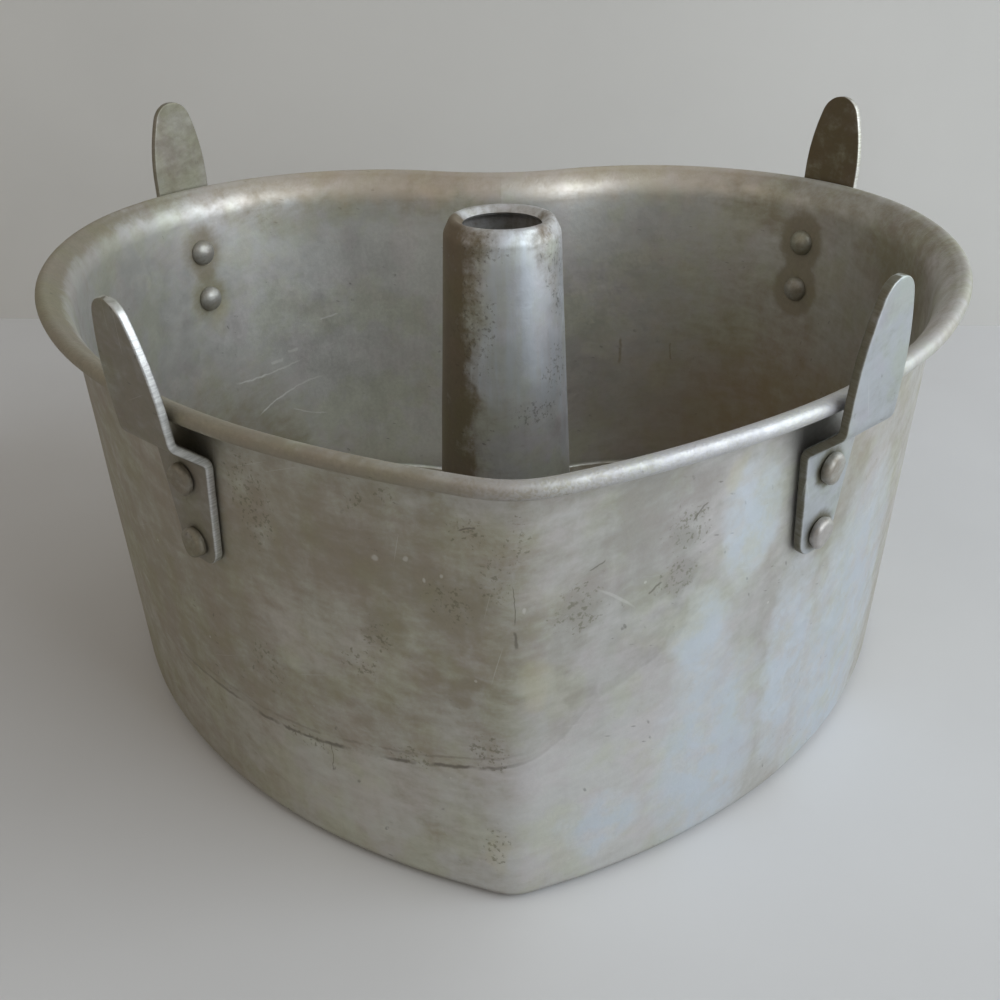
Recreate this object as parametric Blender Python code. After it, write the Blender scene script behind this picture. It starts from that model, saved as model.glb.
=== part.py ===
"""Heart-shaped tube cake pan: riveted cooling legs, and a bottom with its tube that lifts out.

Metres, +Z up. The pan stands on its turned-in foot at z = 0, the heart's tip points towards -Y,
and the origin is below the middle of the rim's width and depth.
"""
import math

import bmesh
import bpy
from mathutils import Matrix, Vector

MM = 0.001

# Heart outline, measured round the outer edge of the rolled rim. Each half is a chain of arcs:
# tip, side, shoulder, lobe and cleft. A turn is the direction that the outline faces, counted
# from the tip (0, facing the front) to the cleft (180, facing the back).
RIM_WIDTH = 254 * MM
TIP_RADIUS = 31 * MM
SHOULDER_RADIUS = 124 * MM
CLEFT_RADIUS = 67 * MM
TIP_TURN = math.radians(18.5)
SIDE_TURN = math.radians(73)
SHOULDER_TURN = math.radians(99)
LOBE_TURN = math.radians(198.5)
OUTLINE_STEP = math.radians(6.5)

# Wall: one sheet that runs from the foot ledge up to the rolled rim
RIM_HEIGHT = 113 * MM
WALL_SHEET = 1.2 * MM
WALL_LEAN = math.radians(2.5)
LEDGE_WIDTH = 8 * MM
HEEL_RADIUS = 3 * MM
FLARE_RADIUS = 9.9 * MM
FLARE_TURN = math.radians(63)
BEAD_RADIUS = 1.9 * MM
BEAD_END_TURN = math.radians(292)

# Lift-out bottom
BOTTOM_SHEET = 1.2 * MM
BOTTOM_EDGE_PLAY = 1.7 * MM

# Centre tube
TUBE_TIP_DISTANCE = 112 * MM
TUBE_RISE = 15.8 * MM
TUBE_BASE_RADIUS = 20.2 * MM
TUBE_LEAN = math.radians(2.45)
TUBE_SHEET = 0.9 * MM
TUBE_FLANGE_WIDTH = 3.4 * MM
TUBE_FLANGE_BEND = 0.8 * MM
SWAGE_RADIUS = 1.3 * MM
SWAGE_TURN = math.radians(70)
LIP_BEND_RADIUS = 3 * MM
LIP_SHOULDER_TURN = math.radians(26)
LIP_SHOULDER_WIDTH = 2.4 * MM
LIP_FOLD_RADIUS = 0.9 * MM
LIP_FOLD_TURN = math.radians(132)
LIP_INSIDE_WIDTH = 1.9 * MM

# Cooling legs: flat strips stepped out under the rim and up past it
LEG_SHEET = 2.0 * MM
FRONT_LEG_WIDTH = 17.6 * MM
REAR_LEG_WIDTH = 19.6 * MM
LEG_END_WIDTH = 11 * MM
LEG_CORNER_RADIUS = 3.6 * MM
FRONT_LEG_TIP_RADIUS = 5.6 * MM
REAR_LEG_TIP_RADIUS = 6.8 * MM
LEG_TAPER_LENGTH = 24 * MM
LEG_BEND_RADIUS = 2.6 * MM
LEG_END_MARGIN = 5.2 * MM
LEG_STEP_MARGIN = 0.6 * MM
LEG_STEP_TURN = math.radians(50)
LEG_RIM_GAP = 1.0 * MM
FRONT_LEG_FACING = math.radians(42)
REAR_LEG_FACING = math.radians(130.5)
FRONT_LEFT_RISE = 22.5 * MM
FRONT_RIGHT_RISE = 24 * MM
REAR_LEFT_RISE = 27.2 * MM
REAR_RIGHT_RISE = 26 * MM

# The front pair is a little narrower than the rear pair: where it faces, its width and its
# tip's radius
FRONT_PAIR = (FRONT_LEG_FACING, FRONT_LEG_WIDTH, FRONT_LEG_TIP_RADIUS)
REAR_PAIR = (REAR_LEG_FACING, REAR_LEG_WIDTH, REAR_LEG_TIP_RADIUS)

# Each leg was bent by hand: its pair, its side, its lean outwards, how far askew it steps out
# towards the cleft, and its rise past the rim
LEGS = {
    "front_left": (FRONT_PAIR, -1, math.radians(7), 0.0, FRONT_LEFT_RISE),
    "front_right": (FRONT_PAIR, 1, math.radians(4), 0.0, FRONT_RIGHT_RISE),
    "rear_left": (REAR_PAIR, -1, math.radians(2), math.radians(22), REAR_LEFT_RISE),
    "rear_right": (REAR_PAIR, 1, math.radians(4), math.radians(-5), REAR_RIGHT_RISE),
}

# Rivets: two for each leg, the upper one a given drop below the rim
RIVET_DROP = 19.4 * MM
RIVET_SPACING = 15.8 * MM
RIVET_SHANK_RADIUS = 2.2 * MM
RIVET_DOME_RADIUS = 4.1 * MM
RIVET_DOME_HEIGHT = 2.9 * MM
RIVET_BUTTON_RADIUS = 3.6 * MM
RIVET_BUTTON_HEIGHT = 1.9 * MM
RIVET_BUTTON_BEVEL = 0.7 * MM

# Clearance between pieces that touch
GAP = 0.3 * MM

# Facets of round shapes, and steps of the bends in the sheets
ROUND_SIDES = 32
RIVET_SIDES = 16
HEEL_STEPS = 3
FLARE_STEPS = 4
BEAD_STEPS = 8
SWAGE_STEPS = 2
LIP_STEPS = 4
LEG_BEND_STEPS = 4

SQUARE_OUT = math.pi / 2


def start_clean():
    for old in list(bpy.data.objects):
        bpy.data.objects.remove(old, do_unlink=True)


class SheetPath:
    """The middle line of a bent sheet, drawn in a plane (out, up).

    The heading is counted from up (0) towards out (90 degrees). A bend's radius is that of the
    sheet's middle.
    """

    def __init__(self, out, up, heading):
        self.points = [Vector((out, up))]
        self.headings = [heading]

    def line(self, length):
        heading = self.headings[-1]
        step = Vector((math.sin(heading), math.cos(heading))) * length
        self.points.append(self.points[-1] + step)
        self.headings.append(heading)

    def bend(self, radius, new_heading, steps):
        start = self.headings[-1]
        for i in range(steps):
            a = start + (new_heading - start) * i / steps
            b = start + (new_heading - start) * (i + 1) / steps
            self.points.append(self.points[-1] + bend_travel(radius, a, b))
            self.headings.append(b)

    def section(self, thickness):
        """The closed outline of the sheet, with its square ends."""
        left, right = [], []
        for point, heading in zip(self.points, self.headings):
            side = Vector((math.cos(heading), -math.sin(heading))) * thickness / 2
            left.append(point - side)
            right.append(point + side)
        return right + left[::-1]


def bend_travel(radius, start, end):
    """How far a bend from one heading to another moves, as (out, up)."""
    signed = radius if end > start else -radius
    return Vector((math.cos(start) - math.cos(end), math.sin(end) - math.sin(start))) * signed


def outline_arcs():
    """(radius, first turn, last turn) of each arc in half the rim's outline, from the tip.

    The side's and the lobe's radii follow from the rim's width and from the other arcs, so that
    both halves meet on the centre line.
    """
    half = RIM_WIDTH / 2
    side_radius = ((half - TIP_RADIUS * math.sin(TIP_TURN)
                    - SHOULDER_RADIUS * (1 - math.sin(SIDE_TURN)))
                   / (math.sin(SIDE_TURN) - math.sin(TIP_TURN)))
    lobe_radius = ((half - SHOULDER_RADIUS * (1 - math.sin(SHOULDER_TURN))
                    + CLEFT_RADIUS * math.sin(LOBE_TURN))
                   / (math.sin(SHOULDER_TURN) - math.sin(LOBE_TURN)))
    return [(TIP_RADIUS, 0.0, TIP_TURN),
            (side_radius, TIP_TURN, SIDE_TURN),
            (SHOULDER_RADIUS, SIDE_TURN, SHOULDER_TURN),
            (lobe_radius, SHOULDER_TURN, LOBE_TURN),
            (-CLEFT_RADIUS, LOBE_TURN, math.pi)]


def arc_travel(radius, start, end):
    return Vector((math.sin(end) - math.sin(start), math.cos(start) - math.cos(end))) * radius


def facing(turn):
    return Vector((math.sin(turn), -math.cos(turn)))


def half_outline():
    """Points on one half of the rim's outer edge, from the tip at y = 0, and their turns."""
    points, turns = [], []
    corner = Vector((0.0, 0.0))
    for radius, start, end in outline_arcs():
        count = max(2, math.ceil(abs(end - start) / OUTLINE_STEP))
        for i in range(count):
            turn = start + (end - start) * i / count
            points.append(corner + arc_travel(radius, start, turn))
            turns.append(turn)
        corner = corner + arc_travel(radius, start, end)
    return points + [corner], turns + [math.pi]


RIGHT_POINTS, RIGHT_TURNS = half_outline()
RIM_DEPTH = max(point.y for point in RIGHT_POINTS)
TIP_Y = -RIM_DEPTH / 2
TUBE_Y = TIP_Y + TUBE_TIP_DISTANCE
UPPER_RIVET = RIM_HEIGHT - RIVET_DROP
LOWER_RIVET = UPPER_RIVET - RIVET_SPACING


def rim_point(turn):
    """The point of the rim's right half that faces a given way, outside the cleft."""
    corner = Vector((0.0, TIP_Y))
    for radius, start, end in outline_arcs():
        if turn <= end:
            return corner + arc_travel(radius, start, turn)
        corner = corner + arc_travel(radius, start, end)
    return corner


def heart_loop(offset):
    """The whole outline, anticlockwise from the tip, moved out by offset."""
    right = [point + Vector((0.0, TIP_Y)) + facing(turn) * offset
             for point, turn in zip(RIGHT_POINTS, RIGHT_TURNS)]
    left = [Vector((-point.x, point.y)) for point in right[-2:0:-1]]
    return right + left


def wall_path():
    """The wall's sheet, from the ledge's inner edge to the raw edge inside the rolled rim."""
    bead = BEAD_RADIUS - WALL_SHEET / 2
    heel = bend_travel(HEEL_RADIUS, SQUARE_OUT, WALL_LEAN)
    flare = bend_travel(FLARE_RADIUS, WALL_LEAN, FLARE_TURN)
    roll = bend_travel(bead, FLARE_TURN, SQUARE_OUT)
    straight = (RIM_HEIGHT - WALL_SHEET - heel.y - flare.y - roll.y) / math.cos(WALL_LEAN)
    reach = (LEDGE_WIDTH + heel.x + straight * math.sin(WALL_LEAN) + flare.x
             + bend_travel(bead, FLARE_TURN, math.pi).x)
    path = SheetPath(-WALL_SHEET / 2 - reach, WALL_SHEET / 2, SQUARE_OUT)
    path.line(LEDGE_WIDTH)
    path.bend(HEEL_RADIUS, WALL_LEAN, HEEL_STEPS)
    path.line(straight)
    path.bend(FLARE_RADIUS, FLARE_TURN, FLARE_STEPS)
    path.bend(bead, BEAD_END_TURN, BEAD_STEPS)
    return path


WALL = wall_path()
WALL_FOOT = WALL.points[1 + HEEL_STEPS]


def wall_middle(height):
    """How far out of the rim's outer edge the middle of the straight wall lies at a height."""
    return WALL_FOOT.x + (height - WALL_FOOT.y) * math.tan(WALL_LEAN)


def new_mesh_object(name, mesh_data, material, parent=None):
    mesh = bpy.data.meshes.new(name)
    mesh_data.to_mesh(mesh)
    mesh_data.free()
    mesh.materials.append(material)
    mesh.shade_smooth()
    mesh.set_sharp_from_angle(angle=math.radians(40))
    thing = bpy.data.objects.new(name, mesh)
    bpy.context.scene.collection.objects.link(thing)
    thing.parent = parent
    return thing


def metal(name, colour, roughness):
    material = bpy.data.materials.new(name)
    material.use_nodes = True
    shader = material.node_tree.nodes["Principled BSDF"]
    shader.inputs["Base Color"].default_value = (*colour, 1)
    shader.inputs["Roughness"].default_value = roughness
    shader.inputs["Metallic"].default_value = 0.9
    return material


def skin_rings(rings, closed_ends=False):
    """A mesh through rings of points; closed_ends joins the last ring to the first."""
    data = bmesh.new()
    rows = [[data.verts.new(point) for point in ring] for ring in rings]
    count = len(rows[0])
    pairs = list(zip(rows, rows[1:]))
    if closed_ends:
        pairs.append((rows[-1], rows[0]))
    for near, far in pairs:
        for i in range(count):
            j = (i + 1) % count
            data.faces.new((near[i], near[j], far[j], far[i]))
    if not closed_ends:
        data.faces.new(rows[0][::-1])
        data.faces.new(rows[-1])
    bmesh.ops.recalc_face_normals(data, faces=data.faces)
    return data


def turned_shell(section, sides):
    """A closed ring-shaped solid: a section of (radius, height) turned about Z."""
    rings = []
    for i in range(sides):
        angle = math.tau * i / sides
        rings.append([(r * math.cos(angle), r * math.sin(angle), z) for r, z in section])
    return skin_rings(rings, closed_ends=True)


def turned_solid(profile, sides):
    """A closed solid turned about Z, from (radius, height) pairs from its bottom to its top."""
    rings = []
    for r, z in profile:
        rings.append([(r * math.cos(math.tau * i / sides), r * math.sin(math.tau * i / sides), z)
                      for i in range(sides)])
    return skin_rings(rings)


def cut(target, cutter):
    difference = target.modifiers.new("cut " + cutter.name, "BOOLEAN")
    difference.operation = "DIFFERENCE"
    difference.object = cutter


def make_cutter(name, radius, length, sides, matrix, parent=None):
    data = turned_solid([(radius, -length / 2), (radius, length / 2)], sides)
    cutter = bpy.data.objects.new(name, bpy.data.meshes.new(name))
    data.to_mesh(cutter.data)
    data.free()
    bpy.context.scene.collection.objects.link(cutter)
    cutter.parent = parent
    cutter.matrix_local = matrix
    cutter.hide_render = True
    cutter.display_type = "WIRE"
    return cutter


def make_wall(material):
    section = WALL.section(WALL_SHEET)
    loops = [heart_loop(point.x) for point in section]
    rings = [[(*loop[i], point.y) for loop, point in zip(loops, section)]
             for i in range(len(loops[0]))]
    return new_mesh_object("pan_wall", skin_rings(rings, closed_ends=True), material)


def make_bottom(material, parent):
    """The flat heart-shaped plate that rests on the wall's ledge."""
    low = WALL_SHEET + GAP
    edge = wall_middle(low) - WALL_SHEET / 2 - BOTTOM_EDGE_PLAY
    outline = heart_loop(edge)
    rings = [[(x, y - TUBE_Y, z) for x, y in outline] for z in (low, low + BOTTOM_SHEET)]
    plate = new_mesh_object("bottom_plate", skin_rings(rings), material, parent)
    cut(plate, make_cutter("tube_hole_cutter", TUBE_BASE_RADIUS + GAP, 4 * BOTTOM_SHEET,
                           ROUND_SIDES, Matrix.Translation((0, 0, low)), parent))
    return plate


def make_tube(material, parent):
    """The tube: crimped round the hole in the bottom, drawn in upwards, its lip folded inside."""
    neck = TUBE_BASE_RADIUS - TUBE_SHEET / 2
    flange_level = WALL_SHEET - TUBE_SHEET / 2
    bottom_top = WALL_SHEET + GAP + BOTTOM_SHEET
    path = SheetPath(TUBE_BASE_RADIUS + TUBE_FLANGE_WIDTH, flange_level, -SQUARE_OUT)
    path.line(path.points[0].x - neck - TUBE_FLANGE_BEND)
    path.bend(TUBE_FLANGE_BEND, 0.0, SWAGE_STEPS)
    path.line(bottom_top + GAP + TUBE_SHEET / 2 - path.points[-1].y)
    path.bend(SWAGE_RADIUS - TUBE_SHEET / 2, SWAGE_TURN, SWAGE_STEPS)
    path.bend(SWAGE_RADIUS, -SWAGE_TURN, 2 * SWAGE_STEPS)
    path.bend(SWAGE_RADIUS, -TUBE_LEAN, SWAGE_STEPS)
    shoulder = (bend_travel(LIP_BEND_RADIUS, -TUBE_LEAN, -LIP_SHOULDER_TURN).y
                + LIP_SHOULDER_WIDTH * math.cos(LIP_SHOULDER_TURN)
                + bend_travel(LIP_FOLD_RADIUS, -LIP_SHOULDER_TURN, -SQUARE_OUT).y)
    rise = RIM_HEIGHT + TUBE_RISE - TUBE_SHEET / 2 - path.points[-1].y - shoulder
    path.line(rise / math.cos(TUBE_LEAN))
    path.bend(LIP_BEND_RADIUS, -LIP_SHOULDER_TURN, LIP_STEPS)
    path.line(LIP_SHOULDER_WIDTH)
    path.bend(LIP_FOLD_RADIUS, -LIP_FOLD_TURN, LIP_STEPS)
    path.line(LIP_INSIDE_WIDTH)
    data = turned_shell([tuple(point) for point in path.section(TUBE_SHEET)], ROUND_SIDES)
    return new_mesh_object("centre_tube", data, material, parent)


def leg_half_width(width, tip, below_tip, above_end, lower_length):
    """Half the strip's width: a bullet-shaped tip, and a lower part that narrows to its end."""
    half = width / 2
    if below_tip < LEG_TAPER_LENGTH:
        climb = LEG_TAPER_LENGTH - tip
        side_radius = (half**2 + climb**2 - tip**2) / (2 * (half - tip))
        meet = tip * climb / (side_radius - tip)
        if below_tip < tip - meet:
            return math.sqrt(tip**2 - (tip - below_tip)**2)
        return half - side_radius + math.sqrt(side_radius**2
                                              - (LEG_TAPER_LENGTH - below_tip)**2)
    share = min(1.0, above_end / lower_length)
    half = (LEG_END_WIDTH + (width - LEG_END_WIDTH) * share) / 2
    if above_end < LEG_CORNER_RADIUS:
        half += (math.sqrt(LEG_CORNER_RADIUS**2 - (LEG_CORNER_RADIUS - above_end)**2)
                 - LEG_CORNER_RADIUS)
    return half


def leg_path(lean, rise):
    """The strip's middle line, as (out from the rim's edge, up), from its lower end."""
    low = LOWER_RIVET - LEG_END_MARGIN
    step = UPPER_RIVET + RIVET_BUTTON_RADIUS + LEG_STEP_MARGIN
    face = WALL_SHEET / 2 / math.cos(WALL_LEAN) + GAP + LEG_SHEET / 2
    path = SheetPath(wall_middle(low) + face, low, WALL_LEAN)
    path.line((step - low) / math.cos(WALL_LEAN))
    path.bend(LEG_BEND_RADIUS, LEG_STEP_TURN, LEG_BEND_STEPS)
    second = bend_travel(LEG_BEND_RADIUS, LEG_STEP_TURN, lean)
    beside_rim = LEG_RIM_GAP + LEG_SHEET / 2 / math.cos(lean)
    climb = RIM_HEIGHT - BEAD_RADIUS - path.points[-1].y - second.y
    reach = beside_rim - path.points[-1].x - second.x
    path.line((reach - climb * math.tan(lean))
              / (math.sin(LEG_STEP_TURN) - math.cos(LEG_STEP_TURN) * math.tan(lean)))
    path.bend(LEG_BEND_RADIUS, lean, LEG_BEND_STEPS)
    path.line((RIM_HEIGHT + rise - path.points[-1].y) / math.cos(lean))
    return path


def leg_mesh(width, tip, lean, drift, rise):
    """The strip in its own frame: out is -Y and its width lies along X.

    Tip is its end's radius. Drift is how far it moves along X for each step out past the rivets.
    """
    path = leg_path(lean, rise)
    lengths = [0.0]
    for a, b in zip(path.points, path.points[1:]):
        lengths.append(lengths[-1] + (b - a).length)
    total, lower = lengths[-1], lengths[1]
    corner_rows = [LEG_CORNER_RADIUS * (1 - math.cos(math.radians(a))) for a in (25, 50, 75)]
    side_rows = [total - LEG_TAPER_LENGTH * share for share in (1.0, 0.85, 0.7, 0.55, 0.4)]
    tip_rows = [total - tip * (1 - math.sin(math.radians(a)))
                for a in (10, 25, 40, 54, 66, 76, 84)]
    rings = []
    for station in sorted(lengths[:-1] + corner_rows + side_rows + tip_rows):
        index = max(i for i, length in enumerate(lengths[:-1]) if length <= station)
        share = (station - lengths[index]) / (lengths[index + 1] - lengths[index])
        middle = path.points[index].lerp(path.points[index + 1], share)
        heading = path.headings[index] * (1 - share) + path.headings[index + 1] * share
        side = Vector((math.cos(heading), -math.sin(heading))) * LEG_SHEET / 2
        half = leg_half_width(width, tip, total - station, station, lower)
        across = drift * (middle.x - path.points[1].x) if station > lower else 0.0
        outer, inner = middle + side, middle - side
        rings.append([(across + half, -outer.x, outer.y), (across - half, -outer.x, outer.y),
                      (across - half, -inner.x, inner.y), (across + half, -inner.x, inner.y)])
    return skin_rings(rings)


def rivet_mesh():
    """Along +Z from the middle of the wall's sheet: a dome inside and a button head outside."""
    dome_seat = -WALL_SHEET / 2 - GAP
    button_seat = WALL_SHEET / 2 + GAP + LEG_SHEET + GAP
    profile = []
    for angle in (82, 60, 38, 18, 0):
        a = math.radians(angle)
        profile.append((RIVET_DOME_RADIUS * math.cos(a),
                        dome_seat - RIVET_DOME_HEIGHT * math.sin(a)))
    profile += [(RIVET_SHANK_RADIUS, dome_seat), (RIVET_SHANK_RADIUS, button_seat),
                (RIVET_BUTTON_RADIUS, button_seat),
                (RIVET_BUTTON_RADIUS, button_seat + RIVET_BUTTON_HEIGHT - RIVET_BUTTON_BEVEL),
                (RIVET_BUTTON_RADIUS - RIVET_BUTTON_BEVEL, button_seat + RIVET_BUTTON_HEIGHT)]
    return turned_solid(profile, RIVET_SIDES)


def rivet_frame(turn, side, height):
    """Where a rivet sits: its origin in the wall's sheet and its +Z square out of the wall."""
    edge, out = rim_point(turn), facing(turn)
    place = edge + out * wall_middle(height)
    axis = Vector((side * out.x * math.cos(WALL_LEAN), out.y * math.cos(WALL_LEAN),
                   -math.sin(WALL_LEAN)))
    turned = axis.to_track_quat("Z", "X").to_matrix().to_4x4()
    return Matrix.Translation((side * place.x, place.y, height)) @ turned


def make_leg_and_rivets(name, wall, leg_material, rivet_material):
    (turn, width, tip), side, lean, askew, rise = LEGS[name]
    edge = rim_point(turn)
    drift = side * math.tan(askew)
    leg = new_mesh_object("leg_" + name, leg_mesh(width, tip, lean, drift, rise), leg_material)
    leg.location = (side * edge.x, edge.y, 0)
    leg.rotation_euler.z = side * turn
    hole_length = 4 * (WALL_SHEET + GAP + LEG_SHEET)
    for level, height in (("lower", LOWER_RIVET), ("upper", UPPER_RIVET)):
        frame = rivet_frame(turn, side, height)
        rivet = new_mesh_object("rivet_" + name + "_" + level, rivet_mesh(), rivet_material)
        rivet.matrix_world = frame
        cutter = make_cutter("rivet_hole_" + name + "_" + level, RIVET_SHANK_RADIUS + GAP,
                             hole_length, RIVET_SIDES, frame)
        cut(wall, cutter)
        cut(leg, cutter)


start_clean()
wall_metal = metal("wall_aluminium", (0.52, 0.51, 0.46), 0.42)
bottom_metal = metal("bottom_aluminium", (0.45, 0.42, 0.36), 0.45)
tube_metal = metal("tube_aluminium", (0.50, 0.49, 0.47), 0.40)
leg_metal = metal("leg_aluminium", (0.55, 0.55, 0.54), 0.38)
rivet_metal = metal("rivet_aluminium", (0.60, 0.59, 0.56), 0.35)

pan_wall = make_wall(wall_metal)

insert = bpy.data.objects.new("insert", None)
bpy.context.scene.collection.objects.link(insert)
insert.location = (0, TUBE_Y, 0)
make_bottom(bottom_metal, insert)
make_tube(tube_metal, insert)

for leg_name in LEGS:
    make_leg_and_rivets(leg_name, pan_wall, leg_metal, rivet_metal)
bpy.context.view_layer.update()
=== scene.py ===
"""Heart cake pan in old tarnished aluminium, standing in a plain studio."""

import math

import bmesh
import bpy
from mathutils import Matrix, Vector


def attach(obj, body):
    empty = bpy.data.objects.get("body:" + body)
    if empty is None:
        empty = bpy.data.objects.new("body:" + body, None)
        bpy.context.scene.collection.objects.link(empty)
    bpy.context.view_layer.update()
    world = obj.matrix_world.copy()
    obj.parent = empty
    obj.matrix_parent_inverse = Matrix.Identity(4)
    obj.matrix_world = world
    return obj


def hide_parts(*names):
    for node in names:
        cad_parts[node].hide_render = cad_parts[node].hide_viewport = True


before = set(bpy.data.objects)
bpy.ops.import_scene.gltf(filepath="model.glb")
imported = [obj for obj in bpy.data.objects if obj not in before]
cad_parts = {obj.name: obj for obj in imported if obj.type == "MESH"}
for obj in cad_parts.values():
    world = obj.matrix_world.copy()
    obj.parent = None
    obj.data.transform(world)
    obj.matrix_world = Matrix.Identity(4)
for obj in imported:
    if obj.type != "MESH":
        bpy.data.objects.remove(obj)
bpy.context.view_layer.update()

# Camera
# It stands close in front of the pan's tip, a little above the rim, as the photograph was taken.
MM = 0.001
CAMERA_PLACE = Vector((-0.7, -293.1, 203.9)) * MM
CAMERA_TURN = math.radians(0.21)
CAMERA_DOWN = math.radians(28.6)
CAMERA_ROLL = math.radians(-1.0)
LENS_LENGTH = 41.4
SENSOR_WIDTH = 36

camera = bpy.data.objects.new("camera", bpy.data.cameras.new("camera"))
bpy.context.scene.collection.objects.link(camera)
bpy.context.scene.camera = camera
camera.data.lens = LENS_LENGTH
camera.data.sensor_width = SENSOR_WIDTH
camera.data.clip_start = 10 * MM
camera.matrix_world = (Matrix.Translation(CAMERA_PLACE)
                       @ Matrix.Rotation(CAMERA_TURN, 4, "Z")
                       @ Matrix.Rotation(math.pi / 2 - CAMERA_DOWN, 4, "X")
                       @ Matrix.Rotation(CAMERA_ROLL, 4, "Z"))

# Aged aluminium
# Bare sheet that has dulled in use: a clean grey, a brown film of baked-on fat that clouds over
# it, dark pits, a grain from drawing and scouring, and fine bright scratches in every direction.


def add(tree, kind, inputs=None, **settings):
    """A new node, its settings, and its inputs from values or from other nodes' outputs."""
    node = tree.nodes.new(kind)
    for name, value in settings.items():
        setattr(node, name, value)
    for name, value in (inputs or {}).items():
        if isinstance(value, bpy.types.NodeSocket):
            tree.links.new(value, node.inputs[name])
        else:
            node.inputs[name].default_value = value
    return node


def math_node(tree, operation, first, second=0.0, third=0.0):
    return add(tree, "ShaderNodeMath", {0: first, 1: second, 2: third},
               operation=operation).outputs[0]


def times(tree, *values):
    """The product of the values."""
    total = values[0]
    for value in values[1:]:
        total = math_node(tree, "MULTIPLY", total, value)
    return total


def strongest(tree, values):
    total = values[0]
    for value in values[1:]:
        total = math_node(tree, "MAXIMUM", total, value)
    return total


def weighted(tree, start, *pairs):
    """The start plus each value times its weight."""
    total = start
    for value, weight in pairs:
        total = math_node(tree, "MULTIPLY_ADD", value, weight, total)
    return total


def vector_node(tree, operation, first, second, third=(0, 0, 0)):
    node = add(tree, "ShaderNodeVectorMath", {0: first, 1: second, 2: third},
               operation=operation)
    return node.outputs["Value" if operation in ("DOT_PRODUCT", "DISTANCE") else "Vector"]


def scaled(tree, vector, amount):
    return add(tree, "ShaderNodeVectorMath", {0: vector, 3: amount}, operation="SCALE").outputs[0]


def coordinate(tree, vector, index):
    """One part of a vector: 0, 1 or 2 for X, Y or Z."""
    return add(tree, "ShaderNodeSeparateXYZ", {0: vector}).outputs[index]


def object_place(tree):
    return add(tree, "ShaderNodeTexCoord").outputs["Object"]


def ramp(tree, value, low, high, start=0.0, end=1.0):
    """A smooth change from start to end as the value goes from low to high."""
    return add(tree, "ShaderNodeMapRange",
               {"Value": value, "From Min": low, "From Max": high, "To Min": start,
                "To Max": end}, interpolation_type="SMOOTHSTEP").outputs[0]


def stretched(tree, place, size, turn=(0, 0, 0)):
    """Coordinates in cells of a given size, (length, width, depth), turned in space."""
    return add(tree, "ShaderNodeMapping", {"Vector": place, "Scale": size, "Rotation": turn},
               vector_type="TEXTURE").outputs[0]


def noise(tree, place, wave, detail=2.0, roughness=0.5, distortion=0.0, shift=0.0):
    """Noise whose waves are about wave metres long; shift sets it apart from other noise."""
    moved = vector_node(tree, "ADD", place, (shift, shift, shift))
    return add(tree, "ShaderNodeTexNoise",
               {"Vector": moved, "Scale": 1 / wave, "Detail": detail, "Roughness": roughness,
                "Distortion": distortion}).outputs[0]


def marks(tree, place, size, turn, reach, share):
    """Thin marks shaped like a cell, in a share of the cells, each as wide as its reach."""
    cells = add(tree, "ShaderNodeTexVoronoi",
                {"Vector": stretched(tree, place, size, turn), "Scale": 1.0})
    chance = add(tree, "ShaderNodeSeparateColor", {"Color": cells.outputs["Color"]}).outputs[0]
    return times(tree, ramp(tree, cells.outputs["Distance"], reach, 0.5 * reach),
                 math_node(tree, "LESS_THAN", chance, share))


def mix_colour(tree, share, first, second, blend="MIX"):
    node = add(tree, "ShaderNodeMix", {0: share, 6: first, 7: second}, data_type="RGBA",
               blend_type=blend)
    return node.outputs[2]


def new_group(kind, name, inputs, outputs):
    """An empty node group with named sockets: (name, type, default) in, (name, type) out."""
    group = bpy.data.node_groups.new(name, kind)
    for label, socket_type, default in inputs:
        socket = group.interface.new_socket(label, in_out="INPUT", socket_type=socket_type)
        if default is not None:
            socket.default_value = default
    for label, socket_type in outputs:
        group.interface.new_socket(label, in_out="OUTPUT", socket_type=socket_type)
    return group, group.nodes.new("NodeGroupInput").outputs


BROAD_WAVE = 80 * MM
CLOUD_WAVE = 26 * MM
MOTTLE_WAVE = 7 * MM
FLECK_WAVE = 1.2 * MM
STREAK_SIZE = (3 * MM, 3 * MM, 60 * MM)
SMEAR_SIZE = (7 * MM, 7 * MM, 2.4 * MM)
SMEAR_TURN = (0.25, -0.15, 0)
CLEAN_ROUGHNESS = 0.47
FILM_ROUGHNESS = 0.58
CLEAN_METALLIC = 0.9
FILM_METALLIC = 0.55

# What full wear does to the film's thickness, to the shade and to the roughness
WORN_THINS = -0.5
WORN_LIGHTENS = 0.1
WORN_SMOOTHS = -0.08

# Soft casts of colour in the film: the length of their waves, their shift and their tint
CASTS = ((14 * MM, 11, (1.0, 0.965, 0.985, 1)), (18 * MM, 23, (0.97, 0.99, 0.89, 1)))

# Fine marks: the size of their cells, the cells' turns, how far a mark reaches in its cell, the
# share of cells that hold one, how strongly it shows, and its colour
SCRATCHES = ((22 * MM, 0.25 * MM, 22 * MM), ((0.2, 0.3, 0.4), (1.2, 0.4, 0.9)), 0.3, 0.007, 0.2,
             (0.8, 0.8, 0.78, 1))
SPECKS = ((5 * MM, 5 * MM, 5 * MM), ((0.3, 0.2, 0.1),), 0.09, 0.05, 0.35, (0.75, 0.74, 0.7, 1))
PITS = ((4.2 * MM, 1.1 * MM, 4.2 * MM), ((0.4, 0.8, 0.2), (1.7, 0.3, 1.1)), 0.24, 0.14, 0.45,
        (0.08, 0.075, 0.06, 1))
PITTED_WAVE = 24 * MM


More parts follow.
